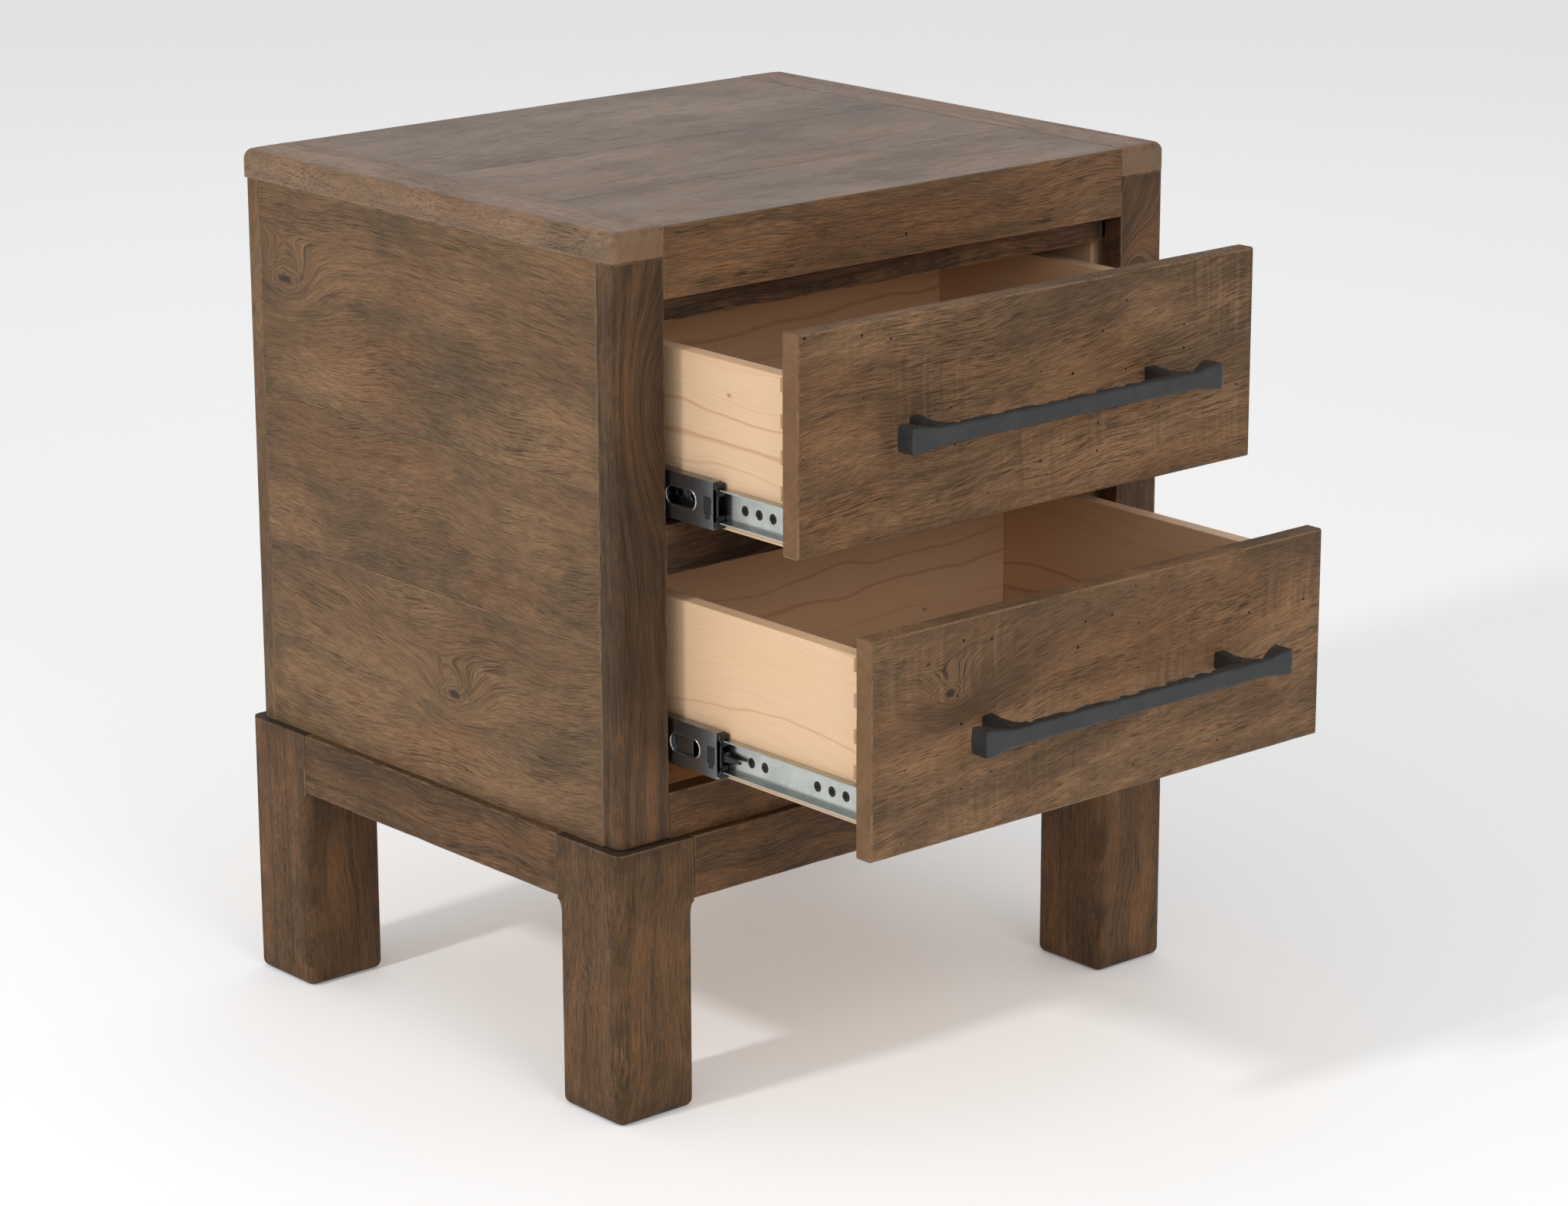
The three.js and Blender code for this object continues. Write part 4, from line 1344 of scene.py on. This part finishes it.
@dataclass
class Drawer:
    """A drawer: its applied front, dovetailed pine box, pull and screws."""

    shop: Workshop
    name: str
    seed: int
    knot: tuple[float, float, float] | None = None
    pull: ForgedPull = ForgedPull()

    def node(self, part: str) -> str:
        """The name of one of the drawer's nodes."""
        return f"{self.name}_drawer_{part}"

    def build(self) -> None:
        """Makes the drawer's pieces."""
        knots = {0: self.knot} if self.knot else {}
        front = Board(Axis.X, Axis.Y, knots=knots, ease=0.7 * MM, nick=0.9 * MM)
        Timber(self.shop, self.seed).piece(self.node("front"), front, Finish.CASE, DRAWER_FRONT_WOOD)
        across = Board(Axis.X, Axis.Y, ease=0.8 * MM, wave=0.08 * MM, step=25 * MM)
        along = Board(Axis.Y, Axis.X, ease=0.8 * MM, wave=0.08 * MM, step=25 * MM)
        floor = Board(Axis.X, Axis.Z, ease=0.3 * MM, wave=0.05 * MM, step=40 * MM)
        boards = {"box_front": across, "box_back": across, "side_left": along, "side_right": along}
        for number, (part, board) in enumerate(boards.items(), 1):
            Timber(self.shop, self.seed + number).piece(self.node(part), board, Finish.PINE)
        Timber(self.shop, self.seed + 7).piece(self.node("bottom"), floor, Finish.PLY)
        self.build_pull()
        self.build_joints()

    def build_pull(self) -> None:
        """Makes the forged pull and the screws that hold it from inside the box."""
        low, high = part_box(self.node("handle"))
        centre = Vector(((low.x + high.x) / 2, high.y, (low.z + high.z) / 2))
        iron = self.shop.finish(Finish.IRON)
        rough = self.pull.pattern(iron).bake("pull", [centre])
        block = self.shop.new_object("pull_block", rough, iron)
        remesh = block.modifiers.new("one_skin", "REMESH")
        remesh.mode, remesh.voxel_size = "VOXEL", self.pull.grid
        soft = block.modifiers.new("softened", "SMOOTH")
        soft.factor, soft.iterations = 0.4, 2
        mesh = evaluated(block, "pull")
        bpy.data.objects.remove(block)
        mesh.shade_smooth()
        body = self.shop.body_of[self.node("front")]
        self.shop.mount(f"{self.name}_pull", mesh, iron, body, Finish.IRON, self.node("handle"))
        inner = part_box(self.node("box_front"))[1].y
        posts = (-self.pull.post_at, self.pull.post_at)
        points = [Vector((centre.x + x, inner + 0.2 * MM, centre.z)) for x in posts]
        screws = ScrewHeads(4.2 * MM, 2.2 * MM, Axis.Y, 1.0).pattern(self.shop.finish(Finish.ZINC))
        self.shop.mount(f"{self.name}_pull_screws", screws.bake("pull_screws", points), None, body,
                        Finish.ZINC)

    def build_joints(self) -> None:
        """Makes the dovetails that show at the sides' front ends."""
        row = DovetailRow()
        tails = row.pattern(self.shop.palette.of(PINE_END_GRAIN))
        for side in SIDES:
            low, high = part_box(self.node(f"side_{side}"))
            face = low.x if side == "left" else high.x
            start = Vector((face, low.y + row.length / 2, low.z + row.first))
            self.shop.mount(f"{self.name}_dovetails_{side}", tails.bake("dovetails", [start]), None,
                            self.shop.body_of[self.node("front")], Finish.PINE)


@dataclass
class Slide:
    """One ball-bearing slide: three steel members, a cage of balls, plastic parts and screws."""

    shop: Workshop
    drawer: str
    side: str
    drawer_screws: tuple[float, ...] = (20 * MM, 35 * MM, 50.5 * MM, 108 * MM, 123 * MM, 240 * MM, 270 * MM)
    case_screws: tuple[float, ...] = (37 * MM, 101 * MM, 229 * MM, 281 * MM)
    windows: tuple[float, ...] = (36 * MM, 150 * MM, 262 * MM)

    def node(self, part: str) -> str:
        """The name of one of the slide's nodes."""
        return f"{self.drawer}_slide_{part}_{self.side}"

    def body(self, part: str) -> str:
        """The body that one of the slide's nodes belongs to."""
        return self.shop.body_of[self.node(part)]

    @property
    def outward(self) -> float:
        """The sign of X from the drawer towards the case's side."""
        return -1.0 if self.side == "left" else 1.0

    def build(self) -> None:
        """Makes the slide's pieces."""
        self.fold("cabinet_member", Finish.ZINC)
        self.fold("middle_member", Finish.DARK_STEEL)
        self.fold("drawer_member", Finish.ZINC)
        self.fold("ball_cage", Finish.DARK_STEEL, 0.12 * MM)
        self.fold("release_lever", Finish.PLASTIC, 0.2 * MM, self.slim_tip)
        self.build_balls()
        self.build_screws()
        self.build_highlight_rims()
        self.build_end_cap()

    @staticmethod
    def slim_tip(shape: bmesh.types.BMesh) -> None:
        """Narrows the release lever's arm ahead of its pivot."""
        middle = (min(v.co.z for v in shape.verts) + max(v.co.z for v in shape.verts)) / 2
        tip = min(v.co.y for v in shape.verts)
        for vertex in shape.verts:
            if vertex.co.y < tip + 16 * MM:
                vertex.co.z = middle + (vertex.co.z - middle) * 0.42 - 1 * MM

    def fold(self, part: str, finish: Finish, ease: float = 0.3 * MM,
             rework: Callable[[bmesh.types.BMesh], None] | None = None) -> None:
        """A steel or plastic part with its bends and edges eased.

        Args:
            part: The node's part name.
            finish: Its slot.
            ease: How far its edges are rounded.
            rework: A change to its shape, made first.
        """
        shape = self.shop.shape_of(self.node(part))
        if rework:
            rework(shape)
        ease_edges(shape, ease)
        name = f"{self.node(part)}_eased"
        self.shop.mount(name, finished_mesh(shape, name), self.shop.finish(finish), self.body(part), finish,
                        self.node(part))

    def fitting(self, name: str, pattern: Pattern, points: list[Vector], member: str, slot: Finish) -> None:
        """Bakes a pattern on some points and mounts it with one of the slide's members."""
        self.shop.mount(f"{self.drawer}_slide_{name}_{self.side}", pattern.bake(name, points), None,
                        self.body(member), slot)

    def build_balls(self) -> None:
        """Fills the cage's two rows."""
        low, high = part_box(self.node("ball_cage"))
        middle = (low + high) / 2
        row = BallRow()
        points = [Vector((middle.x, middle.y, z)) for z in (low.z + row.radius, high.z - row.radius)]
        self.fitting("balls", row.pattern(self.shop.finish(Finish.ZINC)), points, "ball_cage", Finish.ZINC)

    def build_screws(self) -> None:
        """Puts the mounting screws in the drawer member and the cabinet member."""
        low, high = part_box(self.node("drawer_member"))
        middle = (low.z + high.z) / 2
        web = low.x if self.side == "right" else high.x
        points = [Vector((web + self.outward * 0.3 * MM, low.y + at, middle)) for at in self.drawer_screws]
        black = self.shop.palette.of(BLACKED_STEEL)
        heads = ScrewHeads(3.6 * MM, 1.4 * MM, Axis.X, self.outward).pattern(black)
        self.fitting("screws", heads, points, "drawer_member", Finish.DARK_STEEL)
        low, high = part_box(self.node("cabinet_member"))
        web = high.x if self.side == "right" else low.x
        points = [Vector((web - self.outward * 1.35 * MM, low.y + at, middle)) for at in self.case_screws]
        heads = ScrewHeads(3.4 * MM, 0.8 * MM, Axis.X, -self.outward).pattern(self.shop.finish(Finish.ZINC))
        self.fitting("case_screws", heads, points, "cabinet_member", Finish.ZINC)

    def build_highlight_rims(self) -> None:
        """Raises a bead round each window of the middle member and a strip on its front end, in bright zinc
        as painted highlights.
        """
        low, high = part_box(self.node("middle_member"))
        web = low.x if self.side == "left" else high.x
        points = [Vector((web, low.y + at, (low.z + high.z) / 2)) for at in self.windows]
        # Bright zinc on the dark steel member: a painted highlight on the beads and on the front-end strip.
        steel = self.shop.finish(Finish.ZINC)
        rims = WindowRims().pattern(steel).bake("rims", points)
        shape = bmesh.new()
        shape.from_mesh(rims)
        # A thin zinc strip over the member's front end paints its bright edge highlight.
        xs = sorted((web + self.outward * 0.05 * MM, web - self.outward * 0.9 * MM))
        add_block(shape, [xs, [low.y - 0.1 * MM, low.y + 0.35 * MM], [low.z + 0.8 * MM, high.z - 0.8 * MM]])
        shape.to_mesh(rims)
        shape.free()
        self.shop.mount(f"{self.drawer}_slide_rims_{self.side}", rims, None, self.body("middle_member"),
                        Finish.DARK_STEEL)

    def build_end_cap(self) -> None:
        """The black plastic stop at the middle member's front end, with its two hooks."""
        low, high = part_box(self.node("middle_member"))
        near = low.x if self.side == "left" else high.x
        front, middle = low.y, (low.z + high.z) / 2
        blocks = [
            ((1.3, 2.6), (-3.5, 0.9), (-12.4, 12.4)),
            ((1.3, 8.6), (-3.5, 0.9), (-11.1, -7.4)),
            ((1.3, 8.6), (-3.5, 0.9), (7.4, 11.1)),
            ((2.4, 8.0), (0.0, 16.0), (-11.1, -7.4)),
            ((2.4, 8.0), (0.0, 16.0), (7.4, 11.1)),
            ((0.5, 1.5), (0.0, 11.0), (-6.5, 6.5)),
            ((2.4, 9.2), (-3.5, 0.9), (13.1, 16.9)),
            ((2.4, 9.2), (-3.5, 0.9), (-16.9, -13.1)),
            ((1.3, 2.6), (-2.6, 0.6), (-16.5, 16.5)),
            ((-0.7, 1.0), (2.5, 10.0), (-7.0, 6.0)),
            ((-0.7, 1.0), (4.0, 8.5), (-10.5, -6.0)),
        ]
        shape = bmesh.new()
        for across, deep, tall in blocks:
            xs = sorted(near - self.outward * value * MM for value in across)
            ranges = [xs, [front + v * MM for v in deep], [middle + v * MM for v in tall]]
            add_block(shape, ranges)
        ease_edges(shape, 0.35 * MM)
        self.shop.mount(f"{self.drawer}_slide_end_cap_{self.side}", finished_mesh(shape, "end_cap"),
                        self.shop.finish(Finish.PLASTIC), self.body("middle_member"), Finish.PLASTIC)


def add_block(shape: bmesh.types.BMesh, ranges: list[list[float]]) -> None:
    """Adds one closed block, given its range along each axis, to a shape."""
    (x0, x1), (y0, y1), (z0, z1) = ranges
    size = Matrix.Diagonal((x1 - x0, y1 - y0, z1 - z0, 1.0))
    place = Matrix.Translation(((x0 + x1) / 2, (y0 + y1) / 2, (z0 + z1) / 2))
    bmesh.ops.create_cube(shape, size=1.0, matrix=place @ size)


# ---------------------------------------------------------------------------------------------
# Studio
# ---------------------------------------------------------------------------------------------


@dataclass(frozen=True)
class SoftLight:
    """A rectangular lamp that points at the object."""

    name: str
    azimuth: float
    elevation: float
    distance: float
    width: float
    height: float
    power: float


@dataclass
class Studio:
    """A pale floor, soft light and the camera."""

    shop: Workshop
    target: tuple[float, float, float] = (0.042, 0.084, 0.305)
    azimuth: float = -40.94
    elevation: float = 15.95
    roll: float = -0.18
    distance: float = 3.69
    lens: float = 105.56
    floor_size: float = 30.0
    ambient: float = 0.62
    lights: tuple[SoftLight, ...] = (
        SoftLight("left_key", -90.5, 33.0, 4.2, 0.30, 0.30, 60.0),
        SoftLight("front_fill", -12.0, 28.0, 3.6, 1.8, 1.4, 26.0),
        SoftLight("rear_sheen", 140.0, 30.0, 4.0, 2.4, 1.6, 5.0),
    )

    @staticmethod
    def toward(azimuth: float, elevation: float) -> Vector:
        """A unit vector towards an azimuth from the front and an elevation, both in degrees."""
        a, e = math.radians(azimuth), math.radians(elevation)
        return Vector((math.sin(a) * math.cos(e), -math.cos(a) * math.cos(e), math.sin(e)))

    def aim(self, thing: bpy.types.Object, azimuth: float, elevation: float, distance: float) -> None:
        """Places a camera or lamp on a direction from the target, looking at it."""
        direction = self.toward(azimuth, elevation)
        thing.location = Vector(self.target) + direction * distance
        thing.rotation_euler = direction.to_track_quat("Z", "Y").to_euler()

    def build(self) -> None:
        """Makes the floor, the lamps, the surroundings and the camera."""
        self.build_floor()
        world = bpy.data.worlds.new("studio")
        world.use_nodes = True
        background = world.node_tree.nodes["Background"]
        background.inputs["Color"].default_value = (1.0, 1.0, 1.0, 1.0)
        background.inputs["Strength"].default_value = self.ambient
        bpy.context.scene.world = world
        for light in self.lights:
            lamp = bpy.data.lights.new(light.name, "AREA")
            lamp.shape, lamp.size, lamp.size_y = "RECTANGLE", light.width, light.height
            lamp.energy = light.power
            holder = bpy.data.objects.new(light.name, lamp)
            bpy.context.scene.collection.objects.link(holder)
            self.aim(holder, light.azimuth, light.elevation, light.distance)
        bpy.context.scene.view_settings.view_transform = "Standard"
        self.build_camera()

    def build_floor(self) -> None:
        """A large pale floor with a barely uneven surface."""
        half = self.floor_size / 2
        mesh = bpy.data.meshes.new("floor")
        mesh.from_pydata([(-half, -half, 0), (half, -half, 0), (half, half, 0), (-half, half, 0)], [],
                         [(0, 1, 2, 3)])
        material, make, shader = new_surface("pale_floor")
        x, y, z = make.split(make.place())
        shade = make.grain(make.vector(x * 1.5, y * 1.5, z), 2.0)
        make.feed(shader.inputs["Base Color"], make.mix(shade, (0.93, 0.93, 0.93), (0.95, 0.95, 0.95)))
        shader.inputs["Roughness"].default_value = 0.85
        shader.inputs["Emission Color"].default_value = (1.0, 1.0, 1.0, 1.0)
        shader.inputs["Emission Strength"].default_value = 0.15
        floor = self.shop.new_object("floor", mesh, material)
        floor.location.z = -0.3 * MM

    def build_camera(self) -> None:
        """The camera, level but for a slight roll."""
        camera = bpy.data.cameras.new("camera")
        camera.lens, camera.sensor_width, camera.sensor_fit = self.lens, 36.0, "HORIZONTAL"
        holder = bpy.data.objects.new("camera", camera)
        bpy.context.scene.collection.objects.link(holder)
        self.aim(holder, self.azimuth, self.elevation, self.distance)
        turned = holder.rotation_euler.to_matrix() @ Matrix.Rotation(math.radians(self.roll), 3, "Z")
        holder.rotation_euler = turned.to_euler()
        bpy.context.scene.camera = holder


def main() -> None:
    """Builds the studio and the nightstand in order."""
    logging.basicConfig(level=logging.INFO, format="%(name)s: %(message)s")
    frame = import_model()
    shop = Workshop(frame)
    Studio(shop).build()
    Case(shop).build()
    Base(shop).build()
    Drawer(shop, "upper", 100).build()
    Drawer(shop, "lower", 120, knot=(-0.155, 0.030, 8 * MM)).build()
    for drawer in ("upper", "lower"):
        for side in SIDES:
            Slide(shop, drawer, side).build()


if __name__ == "__main__":
    main()
